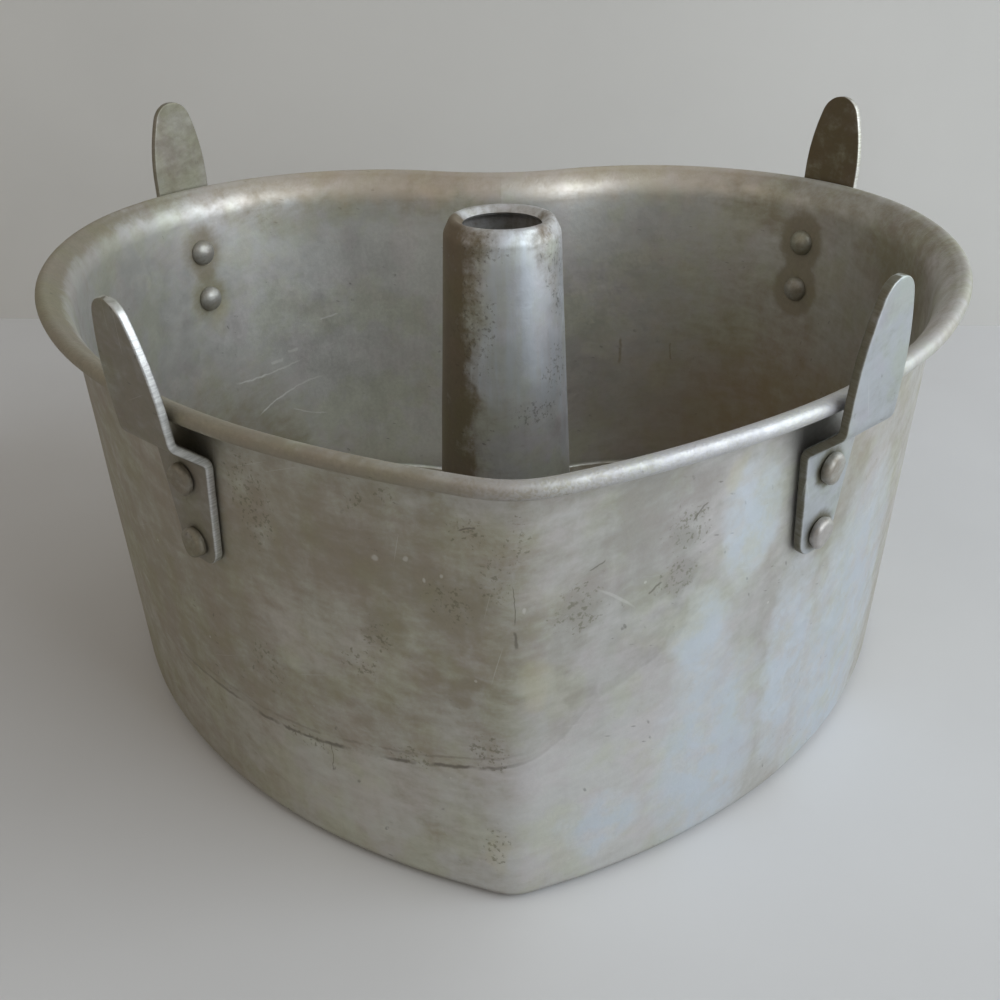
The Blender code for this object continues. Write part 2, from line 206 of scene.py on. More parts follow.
def aged_aluminium_group():
    """Colour, metal, roughness and height of the finish; the film thins where worn is 1."""
    group, given = new_group(
        "ShaderNodeTree", "aged aluminium",
        [("Clean", "NodeSocketColor", (0.6, 0.59, 0.56, 1)),
         ("Film", "NodeSocketColor", (0.25, 0.22, 0.17, 1)),
         ("Film Cover", "NodeSocketFloat", 0.5), ("Mottling", "NodeSocketFloat", 1.0),
         ("Marks", "NodeSocketFloat", 1.0), ("Worn", "NodeSocketFloat", 0.0),
         ("Offset", "NodeSocketVector", (0, 0, 0))],
        [("Color", "NodeSocketColor"), ("Metallic", "NodeSocketFloat"),
         ("Roughness", "NodeSocketFloat"), ("Height", "NodeSocketFloat")])
    place = vector_node(group, "ADD", object_place(group), given["Offset"])

    broad = noise(group, place, BROAD_WAVE)
    cloud = noise(group, place, CLOUD_WAVE, detail=4, roughness=0.55, distortion=0.3)
    mottle = noise(group, place, MOTTLE_WAVE, detail=5, roughness=0.65, distortion=0.3)
    fleck = noise(group, place, FLECK_WAVE, detail=3, roughness=0.7)
    streak = noise(group, stretched(group, place, STREAK_SIZE), 1.0, detail=3)
    smear = noise(group, stretched(group, place, SMEAR_SIZE, SMEAR_TURN), 1.0, detail=4,
                  roughness=0.6)
    layers = ((broad, 0.4), (cloud, 0.45), (mottle, 1.1), (smear, 0.6), (streak, 0.3),
              (fleck, 0.5))
    uneven = weighted(group, -0.5 * sum(weight for _, weight in layers), *layers)
    thickness = math_node(group, "MULTIPLY_ADD", uneven, given["Mottling"], given["Film Cover"])
    film = ramp(group, weighted(group, thickness, (given["Worn"], WORN_THINS)), 0.0, 1.0)
    colour = mix_colour(group, film, given["Clean"], given["Film"])

    for wave, shift, tint in CASTS:
        cast = noise(group, place, wave, detail=4, roughness=0.6, shift=shift)
        cast = times(group, ramp(group, cast, 0.46, 0.62), given["Mottling"])
        colour = mix_colour(group, cast, colour, tint, "MULTIPLY")
    shade = times(group, *[ramp(group, layer, 0.3, 0.7, 1 - depth, 1 + depth)
                           for layer, depth in ((mottle, 0.05), (fleck, 0.05), (streak, 0.02))])
    colour = scaled(group, colour, weighted(group, shade, (given["Worn"], WORN_LIGHTENS)))

    pitted = ramp(group, noise(group, place, PITTED_WAVE, shift=5), 0.48, 0.6)
    pitted = times(group, pitted, ramp(group, fleck, 0.4, 0.55))
    for kind, where in ((SCRATCHES, 1.0), (SPECKS, 1.0), (PITS, pitted)):
        size, turns, reach, share, strength, tone = kind
        mask = strongest(group, [marks(group, place, size, turn, reach, share)
                                 for turn in turns])
        colour = mix_colour(group, times(group, mask, where, given["Marks"], strength), colour,
                            tone)
    rough = weighted(group, ramp(group, film, 0, 1, CLEAN_ROUGHNESS, FILM_ROUGHNESS),
                     (ramp(group, mottle, 0.3, 0.7, -0.03, 0.03), 1.0),
                     (given["Worn"], WORN_SMOOTHS))
    height = weighted(group, times(group, mottle, 0.5), (fleck, 0.3))
    metallic = ramp(group, film, 0, 1, CLEAN_METALLIC, FILM_METALLIC)
    add(group, "NodeGroupOutput", {"Color": colour, "Metallic": metallic, "Roughness": rough,
                                   "Height": height})
    return group


AGED = aged_aluminium_group()


def aged_material(name, clean, film, cover=0.5, mottling=1.0, marked=1.0, offset=(0, 0, 0),
                  relief=0.12 * MM):
    """A metal with the aged finish. Returns the material, its finish node and its shader."""
    material = bpy.data.materials.new(name)
    material.use_nodes = True
    tree = material.node_tree
    shader = tree.nodes["Principled BSDF"]
    finish = add(tree, "ShaderNodeGroup",
                 {"Clean": (*clean, 1), "Film": (*film, 1), "Film Cover": cover,
                  "Mottling": mottling, "Marks": marked, "Offset": offset}, node_tree=AGED)
    bump = add(tree, "ShaderNodeBump",
               {"Strength": 1.0, "Distance": relief, "Height": finish.outputs["Height"]})
    tree.links.new(finish.outputs["Color"], shader.inputs["Base Color"])
    tree.links.new(finish.outputs["Metallic"], shader.inputs["Metallic"])
    tree.links.new(finish.outputs["Roughness"], shader.inputs["Roughness"])
    tree.links.new(bump.outputs[0], shader.inputs["Normal"])
    return material, finish, shader


def painted(tree, shader, mask, strength, colour):
    """Lays a colour over what the shader's base colour has now, where the mask is 1."""
    before = shader.inputs["Base Color"].links[0].from_socket
    share = math_node(tree, "MULTIPLY", mask, strength)
    tree.links.new(mix_colour(tree, share, before, (*colour, 1)), shader.inputs["Base Color"])


# Pan wall
# One sheet of aluminium drawn into a heart: turned in at the foot as a ledge for the bottom,
# flared at the top, and rolled outwards and round into a bead that stiffens the rim.
RIM_WIDTH = 254 * MM
TIP_RADIUS = 31 * MM
SHOULDER_RADIUS = 124 * MM
CLEFT_RADIUS = 67 * MM
TIP_TURN = math.radians(18.5)
SIDE_TURN = math.radians(73)
SHOULDER_TURN = math.radians(99)
LOBE_TURN = math.radians(198.5)
OUTLINE_STEP = math.radians(1.5)
RIM_HEIGHT = 113 * MM
WALL_SHEET = 1.2 * MM
WALL_LEAN = math.radians(2.5)
LEDGE_WIDTH = 8 * MM
HEEL_RADIUS = 3 * MM
FLARE_RADIUS = 9.9 * MM
FLARE_TURN = math.radians(63)
BEAD_RADIUS = 1.9 * MM
BEAD_END_TURN = math.radians(292)
SQUARE_OUT = math.pi / 2
BEND_STEP = math.radians(9)
LINE_STEP = 5 * MM


def bend_travel(radius, start, end):
    """How far a bend from one heading to another moves, as (out, up)."""
    signed = radius if end > start else -radius
    return Vector((math.cos(start) - math.cos(end), math.sin(end) - math.sin(start))) * signed


class SheetPath:
    """The middle line of a bent sheet in a plane (out, up). Headings go from up (0) to out."""

    def __init__(self, out, up, heading):
        self.points = [Vector((out, up))]
        self.headings = [heading]

    def line(self, length, step=LINE_STEP):
        heading, start = self.headings[-1], self.points[-1]
        along = Vector((math.sin(heading), math.cos(heading))) * length
        count = max(1, math.ceil(length / step))
        for i in range(1, count + 1):
            self.points.append(start + along * i / count)
            self.headings.append(heading)

    def bend(self, radius, new_heading):
        start = self.headings[-1]
        count = max(2, math.ceil(abs(new_heading - start) / BEND_STEP))
        for i in range(count):
            a = start + (new_heading - start) * i / count
            b = start + (new_heading - start) * (i + 1) / count
            self.points.append(self.points[-1] + bend_travel(radius, a, b))
            self.headings.append(b)

    def section(self, thickness):
        """The closed outline of the sheet: its right side going on, then its left side back."""
        right, left = [], []
        for point, heading in zip(self.points, self.headings):
            side = Vector((math.cos(heading), -math.sin(heading))) * thickness / 2
            right.append(point + side)
            left.append(point - side)
        return right + left[::-1]

    def upturned(self, thickness):
        """The section as Curve to Mesh takes it, which puts a section's Y downwards."""
        return [Vector((point.x, -point.y)) for point in self.section(thickness)]


def outline_arcs():
    """(radius, first turn, last turn) of each arc of half the rim's outline, from the tip."""
    half = RIM_WIDTH / 2
    side_radius = ((half - TIP_RADIUS * math.sin(TIP_TURN)
                    - SHOULDER_RADIUS * (1 - math.sin(SIDE_TURN)))
                   / (math.sin(SIDE_TURN) - math.sin(TIP_TURN)))
    lobe_radius = ((half - SHOULDER_RADIUS * (1 - math.sin(SHOULDER_TURN))
                    + CLEFT_RADIUS * math.sin(LOBE_TURN))
                   / (math.sin(SHOULDER_TURN) - math.sin(LOBE_TURN)))
    return [(TIP_RADIUS, 0.0, TIP_TURN),
            (side_radius, TIP_TURN, SIDE_TURN),
            (SHOULDER_RADIUS, SIDE_TURN, SHOULDER_TURN),
            (lobe_radius, SHOULDER_TURN, LOBE_TURN),
            (-CLEFT_RADIUS, LOBE_TURN, math.pi)]


def arc_travel(radius, start, end):
    return Vector((math.sin(end) - math.sin(start), math.cos(start) - math.cos(end))) * radius


def facing(turn):
    return Vector((math.sin(turn), -math.cos(turn)))


def half_outline():
    """Points and turns on the right half of the rim's outer edge, from the tip at y = 0."""
    points, turns = [], []
    corner = Vector((0.0, 0.0))
    for radius, start, end in outline_arcs():
        count = max(2, math.ceil(abs(end - start) / OUTLINE_STEP))
        for i in range(count):
            turn = start + (end - start) * i / count
            points.append(corner + arc_travel(radius, start, turn))
            turns.append(turn)
        corner = corner + arc_travel(radius, start, end)
    return points + [corner], turns + [math.pi]


HALF_POINTS, HALF_TURNS = half_outline()
TIP_Y = -max(point.y for point in HALF_POINTS) / 2


def rim_point(turn):
    """The point of the rim's right half that faces a given way, outside the cleft."""
    corner = Vector((0.0, TIP_Y))
    for radius, start, end in outline_arcs():
        if turn <= end:
            return corner + arc_travel(radius, start, turn)
        corner = corner + arc_travel(radius, start, end)
    return corner


def heart_loop(offset):
    """The whole outline, anticlockwise from the cleft, moved out by offset."""
    right = [point + Vector((0.0, TIP_Y)) + facing(turn) * offset
             for point, turn in zip(HALF_POINTS, HALF_TURNS)]
    left = [Vector((-point.x, point.y)) for point in right]
    return left[::-1] + right[1:-1]


def wall_path():
    """The wall's sheet, from the ledge's inner edge to the raw edge inside the bead."""
    bead = BEAD_RADIUS - WALL_SHEET / 2
    heel = bend_travel(HEEL_RADIUS, SQUARE_OUT, WALL_LEAN)
    flare = bend_travel(FLARE_RADIUS, WALL_LEAN, FLARE_TURN)
    roll = bend_travel(bead, FLARE_TURN, SQUARE_OUT)
    straight = (RIM_HEIGHT - WALL_SHEET - heel.y - flare.y - roll.y) / math.cos(WALL_LEAN)
    reach = (LEDGE_WIDTH + heel.x + straight * math.sin(WALL_LEAN) + flare.x
             + bend_travel(bead, FLARE_TURN, math.pi).x)
    path = SheetPath(-WALL_SHEET / 2 - reach, WALL_SHEET / 2, SQUARE_OUT)
    path.line(LEDGE_WIDTH)
    path.bend(HEEL_RADIUS, WALL_LEAN)
    foot = path.points[-1].copy()
    path.line(straight)
    path.bend(FLARE_RADIUS, FLARE_TURN)
    path.bend(bead, BEAD_END_TURN)
    return path, foot


WALL_PATH, WALL_FOOT = wall_path()


def wall_middle(height):
    """How far out of the rim's outer edge the middle of the straight wall lies at a height."""
    return WALL_FOOT.x + (height - WALL_FOOT.y) * math.tan(WALL_LEAN)


def fading(tree, distance, reach):
    """1 at no distance, falling off like a bell curve to almost nothing at twice the reach."""
    share = math_node(tree, "DIVIDE", distance, reach)
    return math_node(tree, "EXPONENT", times(tree, share, share, -1.0))


def store(group, geometry, name, value, data_type="FLOAT"):
    return add(group, "GeometryNodeStoreNamedAttribute",
               {"Geometry": geometry, "Name": name, "Value": value}, data_type=data_type,
               domain="POINT").outputs[0]


def stored(group, name, data_type="FLOAT"):
    return add(group, "GeometryNodeInputNamedAttribute", {"Name": name},
               data_type=data_type).outputs[0]


def put_out(group, geometry, material):
    """Ends a tree with plain geometry in one material."""
    geometry = add(group, "GeometryNodeRealizeInstances", {"Geometry": geometry}).outputs[0]
    geometry = add(group, "GeometryNodeSetMaterial",
                   {"Geometry": geometry, "Material": material}).outputs[0]
    add(group, "NodeGroupOutput", {"Geometry": geometry})


def sweep_group():
    """Sweeps a sheet's section round an outline, with soft dents, and stores how far round
    each point lies and whether it is on the section's second side, the inner one."""
    group, given = new_group(
        "GeometryNodeTree", "sheet swept round an outline",
        [("Geometry", "NodeSocketGeometry", None), ("Section", "NodeSocketObject", None),
         ("Side Points", "NodeSocketInt", 10), ("Inside Ends", "NodeSocketFloat", 0.0),
         ("Inside Fade", "NodeSocketFloat", 0.001), ("Dent Depth", "NodeSocketFloat", 0.0),
         ("Dent Scale", "NodeSocketFloat", 20.0), ("Crease Depth", "NodeSocketFloat", 0.0),
         ("Crease Reach", "NodeSocketFloat", 0.01), ("Tip Pull", "NodeSocketVector", (0, 0, 0)),
         ("Tip Reach", "NodeSocketFloat", 0.01), ("Material", "NodeSocketMaterial", None)],
        [("Geometry", "NodeSocketGeometry")])
    step = add(group, "GeometryNodeSplineParameter")
    here = add(group, "GeometryNodeInputPosition").outputs[0]
    tangent = add(group, "GeometryNodeInputTangent").outputs[0]
    total = add(group, "GeometryNodeSplineLength").outputs["Length"]
    around = math_node(group, "MULTIPLY_ADD", total, -0.5, step.outputs["Length"])
    outline = store(group, given["Geometry"], "around", around)
    outline = store(group, outline, "outward",
                    vector_node(group, "CROSS_PRODUCT", tangent, (0, 0, 1)), "FLOAT_VECTOR")

    section = add(group, "GeometryNodeObjectInfo", {"Object": given["Section"]})
    second = math_node(group, "GREATER_THAN", step.outputs["Index"],
                       math_node(group, "SUBTRACT", given["Side Points"], 0.5))
    fade_end = math_node(group, "ADD", given["Inside Ends"], given["Inside Fade"])
    inside = times(group, second, ramp(group, coordinate(group, here, 0), given["Inside Ends"],
                                       fade_end, 1.0, 0.0))
    profile = store(group, section.outputs["Geometry"], "inside", inside)
    sheet = add(group, "GeometryNodeCurveToMesh",
                {"Curve": outline, "Profile Curve": profile}).outputs[0]
    sheet = add(group, "GeometryNodeFlipFaces", {"Mesh": sheet}).outputs[0]

    dents = add(group, "ShaderNodeTexNoise",
                {"Vector": here, "Scale": given["Dent Scale"], "Detail": 1.0}).outputs[0]
    depth = times(group, math_node(group, "SUBTRACT", dents, 0.5), given["Dent Depth"])
    from_tip = stored(group, "around")
    crease = times(group, fading(group, from_tip, given["Crease Reach"]), given["Crease Depth"])
    push = scaled(group, stored(group, "outward", "FLOAT_VECTOR"),
                  math_node(group, "ADD", depth, crease))
    level = math_node(group, "DIVIDE", coordinate(group, here, 2), RIM_HEIGHT)
    pull = scaled(group, given["Tip Pull"],
                  times(group, level, fading(group, from_tip, given["Tip Reach"])))
    sheet = add(group, "GeometryNodeSetPosition",
                {"Geometry": sheet, "Offset": vector_node(group, "ADD", push, pull)}).outputs[0]
    put_out(group, sheet, given["Material"])
    return group


SWEEP = sweep_group()
SHARP_ANGLE = math.radians(40)


def closed_curve(name, points):
    """A closed curve with straight runs between its points, which are (x, y) pairs."""
    curve = bpy.data.curves.new(name, "CURVE")
    curve.dimensions = "3D"
    spline = curve.splines.new("POLY")
    spline.points.add(len(points) - 1)
    for spot, point in zip(spline.points, points):
        spot.co = (point[0], point[1], 0, 1)
    spline.use_cyclic_u = True
    thing = bpy.data.objects.new(name, curve)
    bpy.context.scene.collection.objects.link(thing)
    return thing


def run_group(maker, group, settings):
    """Puts the group on an object as a modifier and returns the plain mesh that it makes."""
    modifier = maker.modifiers.new("maker", "NODES")
    modifier.node_group = group
    names = {item.name: item.identifier for item in group.interface.items_tree
             if item.in_out == "INPUT"}
    for name, value in settings.items():
        modifier[names[name]] = value
    evaluated = maker.evaluated_get(bpy.context.evaluated_depsgraph_get())
    return bpy.data.meshes.new_from_object(evaluated)


def finished(name, mesh, body, slot, *nodes):
    """Makes a mesh a piece of the pan: smooth, on its body, in place of its CAD nodes."""
    mesh.name = name
    mesh.shade_smooth()
    mesh.set_sharp_from_angle(angle=SHARP_ANGLE)
    piece = bpy.data.objects.new(name, mesh)
    bpy.context.scene.collection.objects.link(piece)
    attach(piece, body)
    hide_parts(*nodes)


SEAM_SHARE = 0.01


def swept_sheet(name, outline, path, thickness, body, slot, node, **settings):
    """A bent sheet swept round an outline, whose last short step closes it at the start."""
    seam = outline[-1].lerp(outline[0], 1 - SEAM_SHARE)
    rail = closed_curve(name + "_outline", outline + [seam])
    section = closed_curve(name + "_section", path.upturned(thickness))
    inputs = {label.replace("_", " ").title(): value for label, value in settings.items()}
    mesh = run_group(rail, SWEEP, {"Section": section, "Side Points": len(path.points), **inputs})
    for helper in (rail, section):
        bpy.data.objects.remove(helper)
    finished(name, mesh, body, slot, node)


WALL_CLEAN = (0.645, 0.645, 0.63)
WALL_FILM = (0.287, 0.26, 0.202)
OLIVE_SHADE_METAL = (0.60, 0.597, 0.545)
GREY_FILM = (0.33, 0.32, 0.295)
WALL_COVER = 0.54
WALL_MOTTLING = 0.82

# Where the film is thicker or thinner than elsewhere: middle (round the outline from the tip,
# up), reach each way, both in mm, and how much it adds to the cover
OUTSIDE_FILM = [
    # The two broad places on the left thicken the film there, and darken that side as painted shade
    ((-152, 60), (85, 120), 0.29),
    ((-196, 60), (50, 110), 0.16),
    ((-48, 70), (44, 46), 0.14),
    ((-38, 91), (24, 14), 0.10),
    ((-48, 62), (14, 12), -0.10),
    ((-12, 69), (11, 11), 0.12),
    ((-66, 60), (18, 14), -0.12),
    ((-34, 86), (16, 10), 0.12),
    ((-15, 82), (9, 8), 0.22),
    ((-32, 70), (6, 5), 0.18),
    ((6, 73), (11, 9), 0.22),
    ((15.8, 79.5), (5, 5), 0.18),
    ((34, 98), (16, 8), 0.22),
    ((28, 86), (14, 9), 0.12),
    ((42, 79), (5.5, 5.5), 0.26),
    ((40, 89), (4, 4), 0.20),
    ((21, 48), (6, 5), 0.12),
    ((18, 57), (3, 3), 0.16),
    ((35, 61), (9, 3), 0.16),
    ((-13, 60), (13, 2.5), 0.16),
    ((-10, 22), (26, 18), 0.08),
    ((73, 60), (7, 26), 0.06),
    ((92, 84), (14, 26), 0.20),
    ((26, 24), (34, 26), -0.22),
    ((112, 30), (26, 56), -0.14),
    ((-64, 112), (80, 5), 0.50),
    ((-200, 112), (80, 6), 0.50),
    ((230, 112), (90, 7), 0.25),
    ((350, 112), (34, 7), 0.15),
    ((-350, 112), (34, 7), 0.15),
]
INSIDE_FILM = [
    ((-290, 70), (60, 40), -0.10),
    ((-350, 45), (46, 44), -0.42),
    ((-255, 12), (66, 42), 0.60),
    ((-350, 76), (30, 24), -0.30),
    ((-300, 64), (30, 18), -0.26),
    ((-385, 108), (30, 10), 0.15),
    ((-320, 104), (44, 10), 0.30),
    # Thicker film over the inside's right, which also darkens it as painted shade
    ((236, 40), (110, 70), 0.40),
    ((218, 100), (34, 16), 0.40),
    ((284, 104), (36, 9), 0.25),
]
INSIDE_COVER = -0.28

# Other places are (middle, reach) in mm: the inside's right painted brown as its shade and warm
# reflection, the back of the rim tinted tan
SHADED_BROWN_INSIDE = [((262, 16), (90, 44))]
TAN_TINTED = [((352, 112), (60, 9)), ((-352, 112), (70, 9))]

# Where the outside's film is grey instead of brown, and where its clean metal is olive, partly its
# own tone and partly painted shade of the side away from the light
GREYED = ((50, 50), (50, 90))
OLIVE_SHADED_SIDE = ((-90, 60), (80, 110))

# Where the bead is polished by hands, and painted lighter and grainy as its highlight there
POLISHED = ((52, 112), (60, 40))

# Clean places outside, under a painted bluish sheen of the cool window light
OUTSIDE_CLEAN_SHEEN = [((56, 26), (17, 30)), ((50, 58), (9, 14)), ((60, 86), (9, 14)),
                 ((112, 30), (26, 50)), ((82, 40), (10, 30)), ((26, 18), (12, 8))]

# Scratches: start and end (round the outline, up), bow and width, in mm
DARK_SCRATCHES = [((-0.4, 88), (0.1, 78), 0.2, 0.2), ((0.0, 77), (0.6, 72.5), 0.1, 0.6),
                  ((-13, 98.5), (-9, 99.6), 0.2, 0.35), ((18, 88), (22, 89.5), -0.3, 0.3),
                  ((33, 78), (36.5, 80), 0.2, 0.35), ((43, 92), (47, 95.5), 0.3, 0.3),
                  ((-50, 33), (-50.5, 24), 0.4, 0.18)]
BRIGHT_SCRATCHES = [((-281, 45), (-313, 48.5), 1.6, 0.5), ((-290, 30), (-322, 41), -1.6, 0.5),
                    ((-299, 49), (-305, 49.6), 0.2, 0.9), ((-307, 52), (-312, 52.5), 0.2, 0.9),
                    ((-306, 30), (-322, 26), 0.8, 0.35), ((-322, 62), (-330, 64), 0.3, 0.4)]
GRIMY_MARKS = [((349, 53), (349.5, 42), 0.0, 0.9), ((328, 51), (327.5, 44), 0.0, 0.6)]

# Where crumbs of crust crowd, and small pale and yellowish spots
FRECKLES = [((-35, 99.8), (4, 3.4)), ((-28, 102.5), (3.4, 2.8)), ((-11, 98.6), (6, 4)),
            ((0.5, 97.5), (4, 6)), ((-5, 89), (5, 9)), ((-15.4, 81), (7, 7)),
            ((-32.6, 69), (6, 6)), ((-67, 48), (7, 9)), ((-63, 92), (8, 14)),
            ((-38, 60), (6, 6)), ((42, 91), (8, 7)), ((41, 80), (7, 6)), ((16, 79), (8, 8)),
            ((-5.5, 17), (6, 9)), ((-7, 44), (8, 7)), ((-27, 37.5), (7, 4)),
            ((-57, 31.5), (8, 3))]
PALE_SPECKS = [((-31.2, 88), (0.9, 0.8)), ((-24.4, 89.8), (0.6, 0.7)), ((-16.9, 87.2), (0.5, 0.5)),
               ((-20.6, 85.5), (0.4, 0.5)), ((2.6, 81.6), (0.5, 0.6))]
YELLOW_STAINS = [((54.3, 99.3), (3.5, 4.5)), ((5, 63), (6, 7)), ((-5, 16), (4, 6)),
                 ((-281, 70), (5, 6))]

# Film round the rivets: how far it reaches in mm, and its cover on each side of the pan
RING_REACH = (9, 9)
RING_COVERS = {-1: 0.65, 1: 0.85}

# The top edge of what the wall once stood in: (round the outline from the tip, up), in mm
TIDE_POINTS = [(-150, 33), (-86, 31.8), (-65, 31.5), (-36, 34.6), (-3, 41.2), (8, 43.5),
               (15, 48), (21, 54), (27, 57), (40, 63), (48, 70), (62, 84), (150, 92)]
TIDE_REACH = 150 * MM
TIDE_WIDTH = 0.75 * MM
TIDE_ECHO = 2.6 * MM
TIDE_EDGE = 0.8 * MM
TIDE_BREAKS = 6 * MM
TIDE_PLACE = ((-25, 44), (88, 60))

# Where something starts and where it is full: the tide line round the outline, the bead's crest
# below the rim's top, worn and painted as a highlight, and grime and painted shade above the foot
TIDE_STRONGER = (8 * MM, -12 * MM)
BEAD_CREST = (1.3 * MM, 0.4 * MM)
FOOT_GRIME_AND_SHADE = (3.2 * MM, 0.6 * MM)

# How uneven the edges of stains and of fine marks are: the waves' length and their height
WALL_WOBBLE = (9 * MM, 15 * MM)
LINE_WOBBLE = (3 * MM, 1.6 * MM)

GRAIN_WAVE = 0.7 * MM
GRAIN_RELIEF = 0.9
SHEEN_CLOUDS = 6 * MM
CLEAN_SHEEN_COVER = -0.25
BELOW_TIDE_COVER = -0.16
GRIMY_COVER = 0.5
# How much wear thins and lightens the crest and the polished place: real wear and a painted highlight
CREST_WEAR_AND_HIGHLIGHT = 0.35
POLISH_AND_HIGHLIGHT = 0.25
BEAD_ROUGHER = 0.12
BRIGHT_METAL = (0.82, 0.82, 0.8)
DARK_GRIME = (0.09, 0.075, 0.055)

# What is painted over the finish: how strongly, and its colour
# The first is a painted bluish sheen on the clean places outside
PAINTED_SHEEN = (0.68, (0.58, 0.65, 0.73))
YELLOW_PAINT = (0.25, (0.56, 0.52, 0.33))
BROWN_SHADE_PAINT = (0.45, (0.31, 0.21, 0.12))
TAN_PAINT = (0.4, (0.58, 0.47, 0.36))
POLISH_AND_GLINT_PAINT = (0.6, (0.52, 0.52, 0.56))
TIDE_PAINT = (0.65, DARK_GRIME)
CRUST_PAINT = (0.5, (0.13, 0.125, 0.07))
SPECK_PAINT = (0.3, BRIGHT_METAL)
DARK_PAINT = (0.55, DARK_GRIME)
BRIGHT_PAINT = (0.75, BRIGHT_METAL)

OUTSIDE, INSIDE = 0, 1

# Squares of the distance from a soft oval's middle, in reaches, where it fades out and is full
OVAL_EDGE = 1.5
OVAL_CORE = 0.1

# A scratch fades out at its ends, where the arch over its length is lower than this
SCRATCH_TAPER = 0.12

# Crumbs: the noise level where they start, what crowding adds to it, and for each piece how
# large they are and the level where they are full
CRUMBS_FROM = 0.73
CROWDING = 0.2
WALL_CRUMBS = (1.1 * MM, 0.83)
TUBE_CRUMBS = (1.0 * MM, 0.84)


def attribute(tree, name):
    return add(tree, "ShaderNodeAttribute", attribute_name=name).outputs["Fac"]


def height_above_table(tree):
    return coordinate(tree, object_place(tree), 2)


def stirred(tree, flat, wave, wobble):
    """A flat place moved about a little, so that what is drawn on it has uneven edges."""
    stir = add(tree, "ShaderNodeTexNoise",
               {"Vector": object_place(tree), "Scale": 1 / wave, "Detail": 3.0})
    stir = vector_node(tree, "SUBTRACT", stir.outputs["Color"], (0.5, 0.5, 0.5))
    return vector_node(tree, "MULTIPLY_ADD", stir, (wobble, wobble, 0), flat)


def laid_flat(tree, wave, wobble):
    """The surface laid flat as (round the outline, up), stirred so that edges come uneven."""
    flat = add(tree, "ShaderNodeCombineXYZ",
               {0: attribute(tree, "around"), 1: height_above_table(tree)}).outputs[0]
    return stirred(tree, flat, wave, wobble)


def patch(tree, flat, middle, reach):
    """1 in the middle of a soft oval, 0 outside it."""
    inner = vector_node(tree, "MULTIPLY_ADD", flat,
                        (1 / (reach[0] * MM), 1 / (reach[1] * MM), 0),
                        (-middle[0] / reach[0], -middle[1] / reach[1], 0))
    return ramp(tree, vector_node(tree, "DOT_PRODUCT", inner, inner), OVAL_EDGE, OVAL_CORE)


def patches(tree, flat, places):
    return strongest(tree, [patch(tree, flat, *place) for place in places])


def amounts(tree, flat, places):
    """(soft oval, amount) pairs for weighted, from places that each name their amount."""
    return [(patch(tree, flat, middle, reach), amount) for middle, reach, amount in places]


def scratch(tree, flat, start, end, bow, width):
    """1 along a thin line from start to end, bowed to one side in the middle."""
    run = Vector(end) - Vector(start)
    mapping = add(tree, "ShaderNodeMapping",
                  {"Vector": flat, "Location": (start[0] * MM, start[1] * MM, 0),
                   "Rotation": (0, 0, math.atan2(run.y, run.x)),
                   "Scale": (run.length * MM, width * MM, 1)}, vector_type="TEXTURE").outputs[0]
    along = coordinate(tree, mapping, 0)
    arch = times(tree, along, math_node(tree, "SUBTRACT", 1.0, along))
    across = math_node(tree, "MULTIPLY_ADD", arch, -4 * bow / width,
                       coordinate(tree, mapping, 1))
    line = ramp(tree, math_node(tree, "ABSOLUTE", across), 1.0, 0.2)
    return times(tree, line, ramp(tree, arch, 0.0, SCRATCH_TAPER))


def scratches(tree, flat, lines):
    return strongest(tree, [scratch(tree, flat, *line) for line in lines])


def on_side(tree, side, value):
    inside = attribute(tree, "inside")
    share = inside if side == INSIDE else math_node(tree, "SUBTRACT", 1.0, inside)
    return times(tree, value, share)


def crumbs(tree, crowded, wave, full):
    """Tiny crumbs of crust, more of them where they are crowded."""
    grains = noise(tree, object_place(tree), wave, detail=4, roughness=0.6, shift=2)
    return ramp(tree, weighted(tree, grains, (crowded, CROWDING)), CRUMBS_FROM, full)


def tide_gap(tree, flat):
    """How far a point lies above the tide line."""
    parts = add(tree, "ShaderNodeSeparateXYZ", {0: flat})
    share = math_node(tree, "MULTIPLY_ADD", parts.outputs[0], 0.5 / TIDE_REACH, 0.5)
    curve = add(tree, "ShaderNodeFloatCurve", {"Value": share})
    points = curve.mapping.curves[0].points
    places = [(0.5 + 0.5 * around * MM / TIDE_REACH, up * MM / RIM_HEIGHT)
              for around, up in TIDE_POINTS]
    points[0].location, points[1].location = places[0], places[-1]
    for place in places[1:-1]:
        points.new(*place)
    curve.mapping.update()
    return math_node(tree, "MULTIPLY_ADD", curve.outputs[0], -RIM_HEIGHT, parts.outputs[1])


def tide_line(tree, above, reach):
    """The broken edge of the tide and its fainter echo above it, weak right of the crease."""
    echo = math_node(tree, "SUBTRACT", above, TIDE_ECHO)
    lines = [ramp(tree, math_node(tree, "ABSOLUTE", gap), width, 0.2 * width, 0.0, strength)
             for gap, width, strength in ((above, TIDE_WIDTH, 1.0), (echo, 0.7 * TIDE_WIDTH, 0.4))]
    broken = noise(tree, object_place(tree), TIDE_BREAKS, detail=3, shift=9)
    broken = ramp(tree, broken, 0.34, 0.54)
    left_of_crease = ramp(tree, attribute(tree, "around"), *TIDE_STRONGER, 0.15, 1.0)
    return times(tree, strongest(tree, lines), reach, broken, left_of_crease)


def arc_length(turn):
    """How far round the rim's edge from the tip a turn lies, in mm."""
    return sum(abs(radius) * (min(turn, end) - start) for radius, start, end in outline_arcs()
               if turn > start) / MM


RIVET_DROP = 19.4 * MM
RIVET_SPACING = 15.8 * MM
UPPER_RIVET = RIM_HEIGHT - RIVET_DROP
LOWER_RIVET = UPPER_RIVET - RIVET_SPACING
FRONT_LEG_FACING = math.radians(42)
REAR_LEG_FACING = math.radians(130.5)


